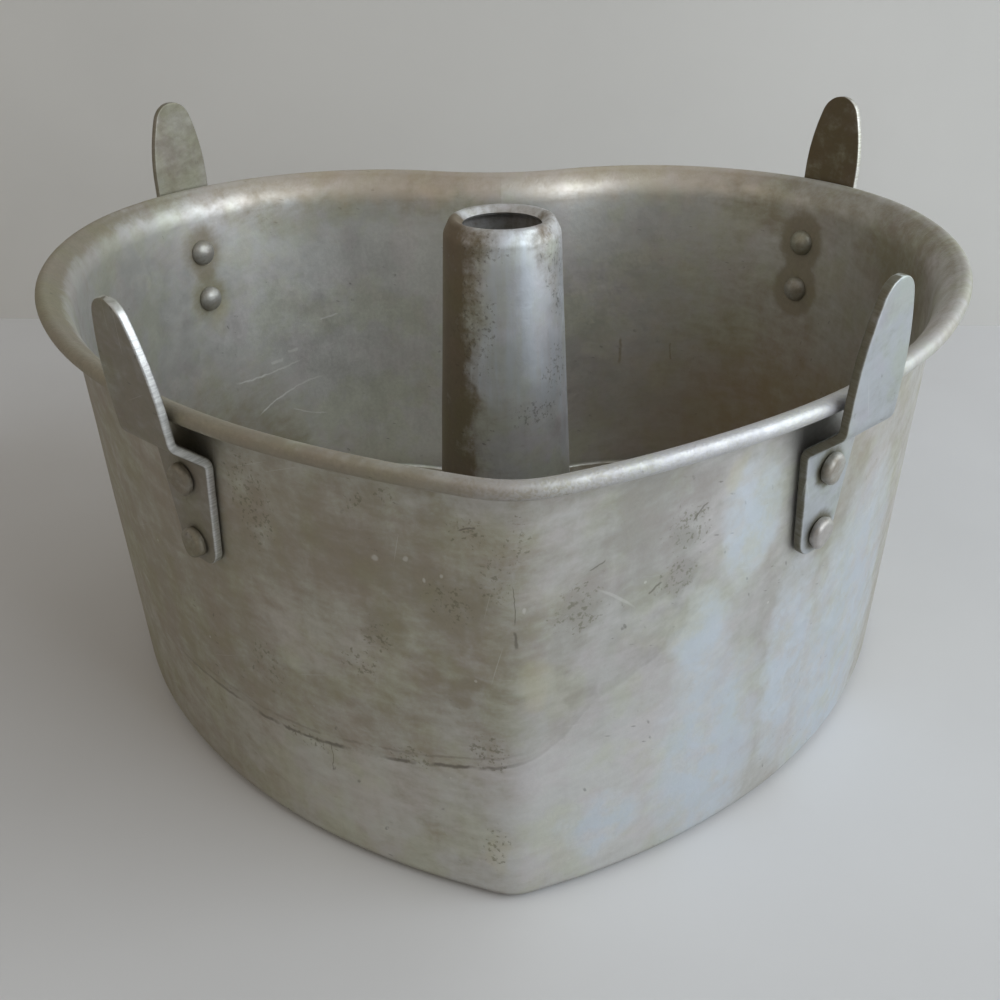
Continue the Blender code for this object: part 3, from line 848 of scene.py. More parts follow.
def lay_wall_film(tree, finish, rough_flat, close_flat, clean_sheen, below_tide):
    """Sets how thick the film lies on each side of the wall, and the colours it mixes."""
    rings = [((side * arc_length(turn), height / MM), RING_REACH, RING_COVERS[side])
             for turn in (FRONT_LEG_FACING, REAR_LEG_FACING)
             for height in (LOWER_RIVET, UPPER_RIVET) for side in RING_COVERS]
    outside = weighted(tree, 0.0, *amounts(tree, rough_flat, OUTSIDE_FILM))
    inside = weighted(tree, INSIDE_COVER, *amounts(tree, rough_flat, INSIDE_FILM),
                      *amounts(tree, close_flat, rings),
                      (scratches(tree, close_flat, GRIMY_MARKS), GRIMY_COVER))
    cover = weighted(tree, WALL_COVER, (on_side(tree, OUTSIDE, outside), 1.0),
                     (on_side(tree, INSIDE, inside), 1.0), (clean_sheen, CLEAN_SHEEN_COVER),
                     (below_tide, BELOW_TIDE_COVER))
    tree.links.new(cover, finish.inputs["Film Cover"])
    for socket, place, usual, other in (("Film", GREYED, WALL_FILM, GREY_FILM),
                                        ("Clean", OLIVE_SHADED_SIDE, WALL_CLEAN, OLIVE_SHADE_METAL)):
        share = on_side(tree, OUTSIDE, patch(tree, rough_flat, *place))
        tree.links.new(mix_colour(tree, share, (*usual, 1), (*other, 1)), finish.inputs[socket])


def wall_material():
    """The wall's aged metal with its own stains, scratches, tide line and worn bead."""
    material, finish, shader = aged_material("pan wall", WALL_CLEAN, WALL_FILM,
                                             mottling=WALL_MOTTLING)
    tree = material.node_tree
    here = object_place(tree)
    up = height_above_table(tree)
    rough_flat = laid_flat(tree, *WALL_WOBBLE)
    close_flat = laid_flat(tree, *LINE_WOBBLE)
    above_tide = tide_gap(tree, close_flat)
    by_tide = on_side(tree, OUTSIDE, patch(tree, close_flat, *TIDE_PLACE))
    below_tide = times(tree, ramp(tree, above_tide, TIDE_EDGE, -TIDE_EDGE), by_tide)
    clean_sheen = on_side(tree, OUTSIDE, patches(tree, rough_flat, OUTSIDE_CLEAN_SHEEN))
    lay_wall_film(tree, finish, rough_flat, close_flat, clean_sheen, below_tide)

    bead = ramp(tree, up, RIM_HEIGHT - 3 * BEAD_RADIUS, RIM_HEIGHT - 1.5 * BEAD_RADIUS)
    crest = ramp(tree, up, *[RIM_HEIGHT - depth for depth in BEAD_CREST])
    polished = times(tree, bead, patch(tree, close_flat, *POLISHED))
    # The crest and the polished place are worn: thinner film and a lighter tone, partly a painted
    # highlight
    tree.links.new(weighted(tree, 0.0, (crest, CREST_WEAR_AND_HIGHLIGHT), (polished, POLISH_AND_HIGHLIGHT)),
                   finish.inputs["Worn"])
    grain = noise(tree, here, GRAIN_WAVE, detail=2)
    bump = shader.inputs["Normal"].links[0].from_node
    tree.links.new(math_node(tree, "MULTIPLY_ADD", grain, times(tree, bead, GRAIN_RELIEF),
                             finish.outputs["Height"]), bump.inputs["Height"])
    tree.links.new(weighted(tree, finish.outputs["Roughness"], (bead, BEAD_ROUGHER)),
                   shader.inputs["Roughness"])

    cloudy = noise(tree, here, SHEEN_CLOUDS, detail=5, roughness=0.65, shift=17)
    specks = patches(tree, close_flat, PALE_SPECKS)
    freckled = on_side(tree, OUTSIDE, patches(tree, close_flat, FRECKLES))
    for mask, paint in (
            # a painted bluish sheen over the clean places, broken into clouds
            (times(tree, clean_sheen, ramp(tree, cloudy, 0.36, 0.6, 0.35, 1.0)), PAINTED_SHEEN),
            (patches(tree, rough_flat, YELLOW_STAINS), YELLOW_PAINT),
            # painted brown shade and reflection on the inside's right
            (on_side(tree, INSIDE, patches(tree, rough_flat, SHADED_BROWN_INSIDE)), BROWN_SHADE_PAINT),
            (patches(tree, rough_flat, TAN_TINTED), TAN_PAINT),
            # the polished bead, with painted grainy glints of its highlight
            (times(tree, polished, ramp(tree, grain, 0.4, 0.55, 0.4, 1.0)), POLISH_AND_GLINT_PAINT),
            (tide_line(tree, above_tide, by_tide), TIDE_PAINT),
            (crumbs(tree, freckled, *WALL_CRUMBS), CRUST_PAINT),
            (on_side(tree, OUTSIDE, specks), SPECK_PAINT),
            (on_side(tree, OUTSIDE, scratches(tree, close_flat, DARK_SCRATCHES)), DARK_PAINT),
            (on_side(tree, INSIDE, scratches(tree, close_flat, BRIGHT_SCRATCHES)), BRIGHT_PAINT),
            # grime and painted contact shade along the foot
            (on_side(tree, OUTSIDE, ramp(tree, up, *FOOT_GRIME_AND_SHADE)), DARK_PAINT)):
        painted(tree, shader, mask, *paint)
    return material


swept_sheet("pan_wall_sheet", heart_loop(0), WALL_PATH, WALL_SHEET, "pan", "wall_aluminium",
            "pan_wall", material=wall_material(), inside_ends=-9 * MM, inside_fade=6 * MM,
            dent_depth=0.7 * MM, dent_scale=18.0, crease_depth=0.6 * MM, crease_reach=7.5 * MM,
            tip_pull=(1.4 * MM, -1.3 * MM, 0), tip_reach=28 * MM)

# Bottom plate
# A flat heart cut from sheet. It lies loose on the wall's ledge and lifts out with the tube.
GAP = 0.3 * MM
BOTTOM_SHEET = 1.2 * MM
BOTTOM_EDGE_PLAY = 1.7 * MM
TUBE_BASE_RADIUS = 20.2 * MM
TUBE_TIP_DISTANCE = 112 * MM
PLATE_RINGS = 24
PLATE_SAG = 0.15 * MM
SAG_TURNS = (61, 47)
TUBE_Y = TIP_Y + TUBE_TIP_DISTANCE

# Thicker and thinner film on the plate: middle (right, back) and reach, in mm
PLATE_FILM = [((4, -62), (40, 34), 0.16), ((-72, 38), (44, 36), 0.14), ((68, 54), (40, 30), 0.22),
              ((0, -10), (40, 38), 0.12), ((-34, 16), (30, 22), -0.20), ((48, 0), (30, 26), -0.18),
              ((-16, 70), (36, 18), -0.12), ((-40, -34), (24, 30), -0.12)]
PLATE_CUTS = [((-66, 12), (-30, 44), 2.5, 0.4), ((-60, 30), (-34, 52), -2, 0.3),
              ((30, 26), (70, 44), 3, 0.35), ((36, 46), (60, 22), 1, 0.3),
              ((-30, -20), (-8, -66), -2, 0.35), ((22, -34), (2, -74), 1.5, 0.3),
              ((34, -12), (60, -22), 1, 0.3), ((-24, 62), (16, 66), 2, 0.3),
              ((-78, 54), (-50, 70), -1.5, 0.3), ((-52, -8), (-26, -34), 2, 0.25)]
PLATE_CLEAN = (0.60, 0.595, 0.565)
PLATE_DIRT = (0.27, 0.235, 0.18)
PLATE_COVER = 0.44

# Grime by the wall and by the tube: the shares of the way out where it starts and ends
GRIMY_FROM = 0.8
GRIMY_UNTIL = 0.14
PLATE_GRIME = 0.3
STAIN_WOBBLE = (12 * MM, 20 * MM)
CUT_WOBBLE = (4 * MM, 1.2 * MM)
CUT_PAINT = (0.35, BRIGHT_METAL)


def plate_material():
    """The plate's aged metal: grime by the wall and the tube, broad stains and knife cuts."""
    material, finish, shader = aged_material("bottom plate", PLATE_CLEAN, PLATE_DIRT,
                                             mottling=0.55, marked=1.8, offset=(3, 1, 2))
    tree = material.node_tree
    here = object_place(tree)
    share = attribute(tree, "share")
    cover = weighted(tree, PLATE_COVER,
                     (ramp(tree, share, GRIMY_FROM, 1.0), PLATE_GRIME),
                     (ramp(tree, share, GRIMY_UNTIL, 0.0), PLATE_GRIME),
                     *amounts(tree, stirred(tree, here, *STAIN_WOBBLE), PLATE_FILM))
    tree.links.new(cover, finish.inputs["Film Cover"])
    painted(tree, shader, scratches(tree, stirred(tree, here, *CUT_WOBBLE), PLATE_CUTS),
            *CUT_PAINT)
    return material


def skinned(name, rings, material=None, joined=False):
    """A closed mesh of quads between rings of points, capped at both ends or joined there."""
    data = bmesh.new()
    loops = [[data.verts.new(point) for point in ring] for ring in rings]
    if joined:
        loops.append(loops[0])
    else:
        data.faces.new(loops[0][::-1])
        data.faces.new(loops[-1])
    for near, far in zip(loops, loops[1:]):
        for i in range(len(near)):
            j = (i + 1) % len(near)
            data.faces.new((near[i], near[j], far[j], far[i]))
    bmesh.ops.recalc_face_normals(data, faces=data.faces)
    mesh = bpy.data.meshes.new(name)
    data.to_mesh(mesh)
    data.free()
    if material:
        mesh.materials.append(material)
    return mesh


def keep_on_points(mesh, name, values):
    mesh.attributes.new(name, "FLOAT", "POINT").data.foreach_set("value", values)


def plate_mesh():
    """Rings from the heart's edge in to the hole on the lower face, and out again on the upper,
    each storing its share of the way out."""
    low = WALL_SHEET + GAP
    edge = heart_loop(wall_middle(low) - WALL_SHEET / 2 - BOTTOM_EDGE_PLAY)
    centre = Vector((0, TUBE_Y))
    outwards = [i / PLATE_RINGS for i in range(PLATE_RINGS + 1)]
    rings, shares = [], []
    for height, steps in ((low, outwards[::-1]), (low + BOTTOM_SHEET, outwards)):
        for share in steps:
            ring = []
            for point in edge:
                inner = centre + (point - centre).normalized() * (TUBE_BASE_RADIUS + GAP)
                spot = inner.lerp(point, share)
                sag = (PLATE_SAG * math.sin(math.pi * share)
                       * math.sin(spot.dot(Vector(SAG_TURNS))))
                ring.append((spot.x, spot.y, height + sag))
            rings.append(ring)
            shares += [share] * len(edge)
    mesh = skinned("bottom_plate_sheet", rings, plate_material(), joined=True)
    keep_on_points(mesh, "share", shares)
    return mesh


finished("bottom_plate_sheet", plate_mesh(), "insert", "bottom_aluminium", "bottom_plate")

# Centre tube
# Drawn sheet that narrows upwards. Its foot is crimped round the hole in the bottom, and its
# lip is drawn in to a shoulder and folded over inside.
TUBE_RISE = 15.8 * MM
TUBE_LEAN = math.radians(2.45)
TUBE_SHEET = 0.9 * MM
TUBE_FLANGE_WIDTH = 3.4 * MM
TUBE_FLANGE_BEND = 0.8 * MM
SWAGE_RADIUS = 1.3 * MM
SWAGE_TURN = math.radians(70)
LIP_BEND_RADIUS = 3 * MM
LIP_SHOULDER_TURN = math.radians(26)
LIP_SHOULDER_WIDTH = 2.4 * MM
LIP_FOLD_RADIUS = 0.9 * MM
LIP_FOLD_TURN = math.radians(132)
LIP_INSIDE_WIDTH = 1.9 * MM
TUBE_SIDES = 128


def tube_path():
    """The tube's sheet from its flange's edge to the raw edge of its lip, out from the base."""
    neck = -TUBE_SHEET / 2
    bottom_top = WALL_SHEET + GAP + BOTTOM_SHEET
    path = SheetPath(TUBE_FLANGE_WIDTH, WALL_SHEET - TUBE_SHEET / 2, -SQUARE_OUT)
    path.line(path.points[0].x - neck - TUBE_FLANGE_BEND)
    path.bend(TUBE_FLANGE_BEND, 0.0)
    path.line(bottom_top + GAP + TUBE_SHEET / 2 - path.points[-1].y)
    path.bend(SWAGE_RADIUS - TUBE_SHEET / 2, SWAGE_TURN)
    path.bend(SWAGE_RADIUS, -SWAGE_TURN)
    path.bend(SWAGE_RADIUS, -TUBE_LEAN)
    shoulder = (bend_travel(LIP_BEND_RADIUS, -TUBE_LEAN, -LIP_SHOULDER_TURN).y
                + LIP_SHOULDER_WIDTH * math.cos(LIP_SHOULDER_TURN)
                + bend_travel(LIP_FOLD_RADIUS, -LIP_SHOULDER_TURN, -SQUARE_OUT).y)
    rise = RIM_HEIGHT + TUBE_RISE - TUBE_SHEET / 2 - path.points[-1].y - shoulder
    path.line(rise / math.cos(TUBE_LEAN))
    path.bend(LIP_BEND_RADIUS, -LIP_SHOULDER_TURN)
    path.line(LIP_SHOULDER_WIDTH)
    path.bend(LIP_FOLD_RADIUS, -LIP_FOLD_TURN)
    path.line(LIP_INSIDE_WIDTH)
    return path


# Thicker and thinner film: middle (round the tube from its left side, up) and reach, in mm
TUBE_FILM = [((6, 70), (17, 90), 0.85), ((38, 110), (13, 20), -0.46), ((46, 94), (10, 9), -0.40),
             ((52, 119), (8, 8), 0.10), ((42, 70), (30, 14), -0.08), ((30, 126), (36, 4), 0.20),
             ((58, 84), (12, 54), -0.34), ((40, 70), (14, 40), -0.10)]
# Clean places under a painted bluish sheen: middle and reach, in mm
TUBE_CLEAN_SHEEN = [((36, 108), (12, 26)), ((48, 94), (12, 12)), ((28, 96), (6, 14)), ((58, 90), (8, 30))]
TUBE_FRECKLES = [((53, 117), (8, 14)), ((52, 92), (7, 10)), ((42, 82), (10, 6)), ((22, 106), (8, 24)),
                 ((26, 124), (10, 5))]
TUBE_STREAK_SIZE = (3 * MM, 3 * MM, 34 * MM)
TUBE_WOBBLE = (8 * MM, 12 * MM)
TUBE_CLEAN = (0.71, 0.715, 0.725)
TUBE_DIRT = (0.20, 0.165, 0.115)
TUBE_COVER = 0.08
STREAK_COVER = 0.5
TUBE_PAINTED_SHEEN = (0.7, (0.80, 0.86, 0.96))
TUBE_CRUST_PAINT = (0.45, DARK_GRIME)
LIP_ROUGHER = 0.12
LIP_FROM = 119 * MM
LIP_FULL = 124 * MM


def tube_material():
    """The tube's aged metal: dark on its left, with a clean place in front under a painted bluish
    sheen.
    """
    material, finish, shader = aged_material("centre tube", TUBE_CLEAN, TUBE_DIRT, mottling=1.15,
                                             marked=1.2, offset=(7, 4, 1))
    tree = material.node_tree
    rough_flat = laid_flat(tree, *TUBE_WOBBLE)
    streaks = noise(tree, stretched(tree, object_place(tree), TUBE_STREAK_SIZE), 1.0, detail=4,
                    roughness=0.6)
    cover = weighted(tree, TUBE_COVER, *amounts(tree, rough_flat, TUBE_FILM),
                     (streaks, STREAK_COVER))
    tree.links.new(cover, finish.inputs["Film Cover"])
    # a painted bluish sheen on the clean place in front, in streaks
    clean_sheen = times(tree, patches(tree, rough_flat, TUBE_CLEAN_SHEEN),
                  ramp(tree, streaks, 0.36, 0.64, 1.0, 0.5))
    painted(tree, shader, clean_sheen, *TUBE_PAINTED_SHEEN)
    crust = crumbs(tree, patches(tree, rough_flat, TUBE_FRECKLES), *TUBE_CRUMBS)
    painted(tree, shader, crust, *TUBE_CRUST_PAINT)
    lip = ramp(tree, height_above_table(tree), LIP_FROM, LIP_FULL)
    tree.links.new(weighted(tree, finish.outputs["Roughness"], (lip, LIP_ROUGHER)),
                   shader.inputs["Roughness"])
    return material


tube_ring = [Vector((math.cos(math.tau * i / TUBE_SIDES), math.sin(math.tau * i / TUBE_SIDES)))
             * TUBE_BASE_RADIUS + Vector((0, TUBE_Y)) for i in range(TUBE_SIDES)]
swept_sheet("centre_tube_sheet", tube_ring, tube_path(), TUBE_SHEET, "insert", "tube_aluminium",
            "centre_tube", material=tube_material(), inside_ends=-30 * MM, inside_fade=1 * MM,
            dent_depth=0.3 * MM, dent_scale=40.0)

# Cooling legs
# Strips cut from thicker sheet and filed round at the tip. Two rivets hold each one to the
# wall. It steps out under the bead and stands up past it, and each was bent by hand.
LEG_SHEET = 2.0 * MM
FRONT_LEG_WIDTH = 17.6 * MM
REAR_LEG_WIDTH = 19.6 * MM
LEG_END_WIDTH = 11 * MM
LEG_CORNER_RADIUS = 3.6 * MM
FRONT_LEG_TIP_RADIUS = 5.6 * MM
REAR_LEG_TIP_RADIUS = 6.8 * MM
LEG_TAPER_LENGTH = 24 * MM
LEG_BEND_RADIUS = 2.6 * MM
LEG_END_MARGIN = 5.2 * MM
LEG_STEP_MARGIN = 0.6 * MM
LEG_STEP_TURN = math.radians(50)
LEG_RIM_GAP = 1.0 * MM
LEG_EDGE_ROUND = 0.45 * MM
LEG_ROUND_STEPS = 3
LEG_ROW_STEP = 1.2 * MM
LEG_LEAST_STEP = LEG_EDGE_ROUND / 20
LEG_END_CUT = LEG_EDGE_ROUND / 4
LEG_CORNER_LIMIT = 0.8
RIVET_BUTTON_RADIUS = 3.6 * MM

# A pair's facing, width and tip radius, then each leg's pair, side, outward lean, sideways lean
# and rise above the rim
FRONT_PAIR = (FRONT_LEG_FACING, FRONT_LEG_WIDTH, FRONT_LEG_TIP_RADIUS)
REAR_PAIR = (REAR_LEG_FACING, REAR_LEG_WIDTH, REAR_LEG_TIP_RADIUS)
LEGS = {
    "front_left": (FRONT_PAIR, -1, math.radians(7), 0.0, 22.5 * MM),
    "front_right": (FRONT_PAIR, 1, math.radians(4), 0.0, 24 * MM),
    "rear_left": (REAR_PAIR, -1, math.radians(2), math.radians(22), 27.2 * MM),
    "rear_right": (REAR_PAIR, 1, math.radians(4), math.radians(-5), 26 * MM),
}


def leg_half_width(width, tip, below_tip, above_end, lower_length):
    """Half the strip's width: a bullet-shaped tip, and a lower part that narrows to its end."""
    half = width / 2
    if below_tip < LEG_TAPER_LENGTH:
        climb = LEG_TAPER_LENGTH - tip
        side_radius = (half**2 + climb**2 - tip**2) / (2 * (half - tip))
        meet = tip * climb / (side_radius - tip)
        if below_tip < tip - meet:
            return math.sqrt(tip**2 - (tip - below_tip)**2)
        return half - side_radius + math.sqrt(side_radius**2
                                              - (LEG_TAPER_LENGTH - below_tip)**2)
    share = min(1.0, above_end / lower_length)
    half = (LEG_END_WIDTH + (width - LEG_END_WIDTH) * share) / 2
    if above_end < LEG_CORNER_RADIUS:
        half += (math.sqrt(LEG_CORNER_RADIUS**2 - (LEG_CORNER_RADIUS - above_end)**2)
                 - LEG_CORNER_RADIUS)
    return half


def leg_path(lean, rise):
    """The strip's middle line, as (out from the rim's edge, up), and its flat lower length."""
    low = LOWER_RIVET - LEG_END_MARGIN
    step = UPPER_RIVET + RIVET_BUTTON_RADIUS + LEG_STEP_MARGIN
    face = WALL_SHEET / 2 / math.cos(WALL_LEAN) + GAP + LEG_SHEET / 2
    lower = (step - low) / math.cos(WALL_LEAN)
    path = SheetPath(wall_middle(low) + face, low, WALL_LEAN)
    path.line(lower, step=lower)
    path.bend(LEG_BEND_RADIUS, LEG_STEP_TURN)
    second = bend_travel(LEG_BEND_RADIUS, LEG_STEP_TURN, lean)
    beside_rim = LEG_RIM_GAP + LEG_SHEET / 2 / math.cos(lean)
    climb = RIM_HEIGHT - BEAD_RADIUS - path.points[-1].y - second.y
    reach = beside_rim - path.points[-1].x - second.x
    slope = (reach - climb * math.tan(lean)) / (math.sin(LEG_STEP_TURN)
                                                - math.cos(LEG_STEP_TURN) * math.tan(lean))
    path.line(slope, step=slope)
    path.bend(LEG_BEND_RADIUS, lean)
    upright = (RIM_HEIGHT + rise - path.points[-1].y) / math.cos(lean)
    path.line(upright, step=upright)
    return path, lower


def rounded_ring(half_width, half_sheet):
    """(across, through) points of the strip's section, with its corners rounded."""
    corner = min(LEG_EDGE_ROUND, half_width * LEG_CORNER_LIMIT,
                 half_sheet * LEG_CORNER_LIMIT)
    points = []
    for across, through, first in ((1, 1, 0), (-1, 1, 90), (-1, -1, 180), (1, -1, 270)):
        centre = (across * (half_width - corner), through * (half_sheet - corner))
        arc = []
        for i in range(LEG_ROUND_STEPS + 1):
            angle = math.radians(first + 90 * i / LEG_ROUND_STEPS)
            arc.append((centre[0] + corner * math.cos(angle),
                        centre[1] + corner * math.sin(angle)))
        inner = (centre[0] - across * corner * LEG_CORNER_LIMIT, through * half_sheet)
        points += arc + [inner] if across * through > 0 else [inner] + arc
    return points


def leg_stations(lengths, tip):
    """How far along the strip its rows of points lie, closer together at its rounded ends."""
    total = lengths[-1]
    count = math.ceil(total / LEG_ROW_STEP)
    rows = [total * i / count for i in range(count)] + lengths[:-1]
    rows += [LEG_CORNER_RADIUS * (1 - math.cos(math.radians(a))) for a in range(10, 90, 10)]
    rows += [total - tip * (1 - math.sin(math.radians(a))) for a in range(4, 88, 6)]
    stations = []
    for row in sorted(rows):
        if not stations or row - stations[-1] >= LEG_LEAST_STEP:
            stations.append(row)
    return stations


def leg_mesh(name):
    """A strip bent along its path and set at its place on the wall, storing where its edges
    are."""
    (turn, width, tip), side, lean, askew, rise = LEGS[name]
    path, lower = leg_path(lean, rise)
    drift = side * math.tan(askew)
    edge = rim_point(turn)
    place = (Matrix.Translation((side * edge.x, edge.y, 0))
             @ Matrix.Rotation(side * turn, 4, "Z"))
    lengths = [0.0]
    for a, b in zip(path.points, path.points[1:]):
        lengths.append(lengths[-1] + (b - a).length)
    total = lengths[-1]
    rings, edges = [], []
    for station in leg_stations(lengths, tip):
        index = max(i for i, length in enumerate(lengths[:-1]) if length <= station)
        share = (station - lengths[index]) / (lengths[index + 1] - lengths[index])
        middle = path.points[index].lerp(path.points[index + 1], share)
        heading = path.headings[index] * (1 - share) + path.headings[index + 1] * share
        normal = Vector((math.cos(heading), -math.sin(heading)))
        end = min(total - station, station + LEG_END_CUT)
        thin = 0.0
        if end < LEG_EDGE_ROUND:
            thin = LEG_EDGE_ROUND - math.sqrt(LEG_EDGE_ROUND**2 - (LEG_EDGE_ROUND - end)**2)
        half = leg_half_width(width, tip, total - station, station, lower)
        across = drift * (middle.x - path.points[1].x) if station > lower else 0.0
        ring = []
        for u, w in rounded_ring(half, LEG_SHEET / 2 - thin):
            spot = middle + normal * w
            ring.append(place @ Vector((across + u, -spot.x, spot.y)))
            edges.append(min(1.0, max(0.0, 1 + (abs(u) - half) / LEG_EDGE_ROUND)))
        rings.append(ring)
    mesh = skinned("cooling_leg_" + name, rings, leg_material(name))
    keep_on_points(mesh, "edge", edges)
    return mesh


# Each leg's clean metal, film, film cover, and how much its filed edges add to the cover
LEG_FINISHES = {
    "front_left": ((0.45, 0.45, 0.44), (0.225, 0.205, 0.165), 0.78, -0.9),
    "front_right": ((0.48, 0.505, 0.53), (0.13, 0.12, 0.085), 0.10, 0.80),
    "rear_left": ((0.42, 0.41, 0.36), (0.20, 0.18, 0.14), 0.55, 0.25),
    "rear_right": ((0.5, 0.48, 0.42), (0.14, 0.11, 0.07), 0.9, -0.8),
}
FILE_MARK_SIZE = (7 * MM, 7 * MM, 0.5 * MM)
FILE_MARK_TURN = (0.15, 0.1, 0)
# Grime and painted shade round the rivets on a leg: where it is full and fades, and what it adds
RIVET_GRIME_AND_SHADE = (6.2 * MM, 3.4 * MM)
RIVET_GRIME_AND_SHADE_COVER = 0.8

# The line along an edge: where it lies between the face, at 0, and the edge, at 1
EDGE_LINE = 0.35
EDGE_LINE_WIDTH = 0.3

# How edges are painted: file marks across them, and a line where they meet the strip's faces
BRIGHT_EDGE = ((0.5, BRIGHT_METAL), (0.5, DARK_GRIME))
DULL_EDGE = ((0.06, BRIGHT_METAL), (0.2, BRIGHT_METAL))


def leg_material(name):
    """The strip's aged metal, with file marks across its edges and grime and painted shade round its
    rivets.
    """
    clean, film, cover, edge_cover = LEG_FINISHES[name]
    material, finish, shader = aged_material("cooling leg " + name.replace("_", " "), clean, film,
                                             offset=(2, 8, 5), relief=0.16 * MM)
    tree = material.node_tree
    here = object_place(tree)
    edge = attribute(tree, "edge")
    (turn, _, _), side, _, _, _ = LEGS[name]
    # A dark ring round each rivet, grime and the shade that falls beside it
    grime_and_shade = []
    for height in (LOWER_RIVET, UPPER_RIVET):
        spot = rim_point(turn) + facing(turn) * (wall_middle(height) + LEG_SHEET)
        away = vector_node(tree, "DISTANCE", here, (side * spot.x, spot.y, height))
        grime_and_shade.append(ramp(tree, away, *RIVET_GRIME_AND_SHADE))
    cover = weighted(tree, cover, (edge, edge_cover),
                     (strongest(tree, grime_and_shade), RIVET_GRIME_AND_SHADE_COVER))
    tree.links.new(cover, finish.inputs["Film Cover"])
    filed = noise(tree, stretched(tree, here, FILE_MARK_SIZE, FILE_MARK_TURN), 1.0, detail=4,
                  roughness=0.75, distortion=0.4)
    filed = times(tree, ramp(tree, filed, 0.35, 0.62), edge)
    from_line = math_node(tree, "ABSOLUTE", math_node(tree, "SUBTRACT", edge, EDGE_LINE))
    file_paint, line_paint = BRIGHT_EDGE if edge_cover < 0 else DULL_EDGE
    painted(tree, shader, filed, *file_paint)
    painted(tree, shader, ramp(tree, from_line, EDGE_LINE_WIDTH, 0.0), *line_paint)
    return material


for leg_name in LEGS:
    finished("cooling_leg_" + leg_name, leg_mesh(leg_name), "pan", "leg_aluminium",
             "leg_" + leg_name)

# Rivets
# Soft aluminium rivets, two to a leg: a round head inside the pan, and a shank that was
# hammered over the strip outside into a flat, uneven button.
RIVET_SHANK_RADIUS = 2.2 * MM
RIVET_DOME_RADIUS = 4.1 * MM
RIVET_DOME_HEIGHT = 2.9 * MM
RIVET_BUTTON_HEIGHT = 1.9 * MM
RIVET_BUTTON_BEVEL = 1.2 * MM
RIVET_SIDES = 40
BUTTON_TILT = 0.16 * MM
BUTTON_LUMP = 0.1 * MM
BUTTON_SQUASH = 0.05
BUTTON_BULGE = 0.035
BUTTON_UNDERCUT = 0.2 * MM
BUTTON_TOP_RINGS = (0.6, 0.2)
RIVET_CLEAN = (0.55, 0.55, 0.53)
RIVET_DIRT = (0.195, 0.17, 0.13)
RIVET_WORN = 0.3

# The film is thicker on the rivets towards the front left: (x + y, cover) there and elsewhere
FRONT_LEFT_COVER = (-100 * MM, 0.95)
OTHER_COVER = (-20 * MM, 0.7)


def rivet_profile(seat):
    """(radius, height) points from the dome's top, inside the pan, to the button's top."""
    dome_seat = -WALL_SHEET / 2 - GAP
    rim = RIVET_BUTTON_RADIUS - RIVET_BUTTON_BEVEL
    top = seat + RIVET_BUTTON_HEIGHT
    profile = []
    for degrees in range(86, -1, -8):
        angle = math.radians(degrees)
        profile.append((RIVET_DOME_RADIUS * math.cos(angle),
                        dome_seat - RIVET_DOME_HEIGHT * math.sin(angle)))
    profile += [(RIVET_DOME_RADIUS, dome_seat), (RIVET_SHANK_RADIUS, dome_seat),
                (RIVET_SHANK_RADIUS, seat), (RIVET_BUTTON_RADIUS - BUTTON_UNDERCUT, seat)]
    for degrees in range(0, 91, 15):
        angle = math.radians(degrees)
        profile.append((rim + RIVET_BUTTON_BEVEL * math.cos(angle),
                        top - RIVET_BUTTON_BEVEL * (1 - math.sin(angle))))
    return profile + [(rim * share, top) for share in BUTTON_TOP_RINGS]


def rivet_mesh():
    """Along +Z from the middle of the wall's sheet, turned, with an uneven hammered button."""
    seat = WALL_SHEET / 2 + GAP + LEG_SHEET + GAP
    rings = []
    for radius, height in rivet_profile(seat):
        ring = []
        for i in range(RIVET_SIDES):
            angle = math.tau * i / RIVET_SIDES
            uneven = 1.0
            lift = 0.0
            if height > seat:
                uneven = (1 + BUTTON_SQUASH * math.cos(4 * angle + 1)
                          + BUTTON_BULGE * math.cos(3 * angle))
                lift = (BUTTON_TILT * math.cos(angle + 2)
                        + BUTTON_LUMP * math.cos(3 * angle)) * radius / RIVET_BUTTON_RADIUS
            ring.append((radius * uneven * math.cos(angle), radius * uneven * math.sin(angle),
                         height + lift))
        rings.append(ring)
    return skinned("rivet", rings)


def rivet_group():
    """Sets a rivet on each point, square to the wall, turned by chance about its own axis."""
    group, given = new_group(
        "GeometryNodeTree", "rivets square to the wall",
        [("Geometry", "NodeSocketGeometry", None), ("Rivet", "NodeSocketObject", None),
         ("Seed", "NodeSocketInt", 3), ("Material", "NodeSocketMaterial", None)],
        [("Geometry", "NodeSocketGeometry")])
    square = add(group, "FunctionNodeAlignRotationToVector",
                 {"Vector": stored(group, "axis", "FLOAT_VECTOR")}, axis="Z")
    chance = add(group, "FunctionNodeRandomValue", {"Max": math.tau, "Seed": given["Seed"]},
                 data_type="FLOAT")
    spin = add(group, "FunctionNodeAxisAngleToRotation",
               {"Axis": (0, 0, 1), "Angle": chance.outputs["Value"]})
    turn = add(group, "FunctionNodeRotateRotation",
               {"Rotation": square.outputs[0], "Rotate By": spin.outputs[0]},
               rotation_space="LOCAL")
    rivet = add(group, "GeometryNodeObjectInfo", {"Object": given["Rivet"]})
    rivets = add(group, "GeometryNodeInstanceOnPoints",
                 {"Points": given["Geometry"], "Instance": rivet.outputs["Geometry"],
                  "Rotation": turn.outputs[0]}).outputs[0]
    put_out(group, rivets, given["Material"])
    return group


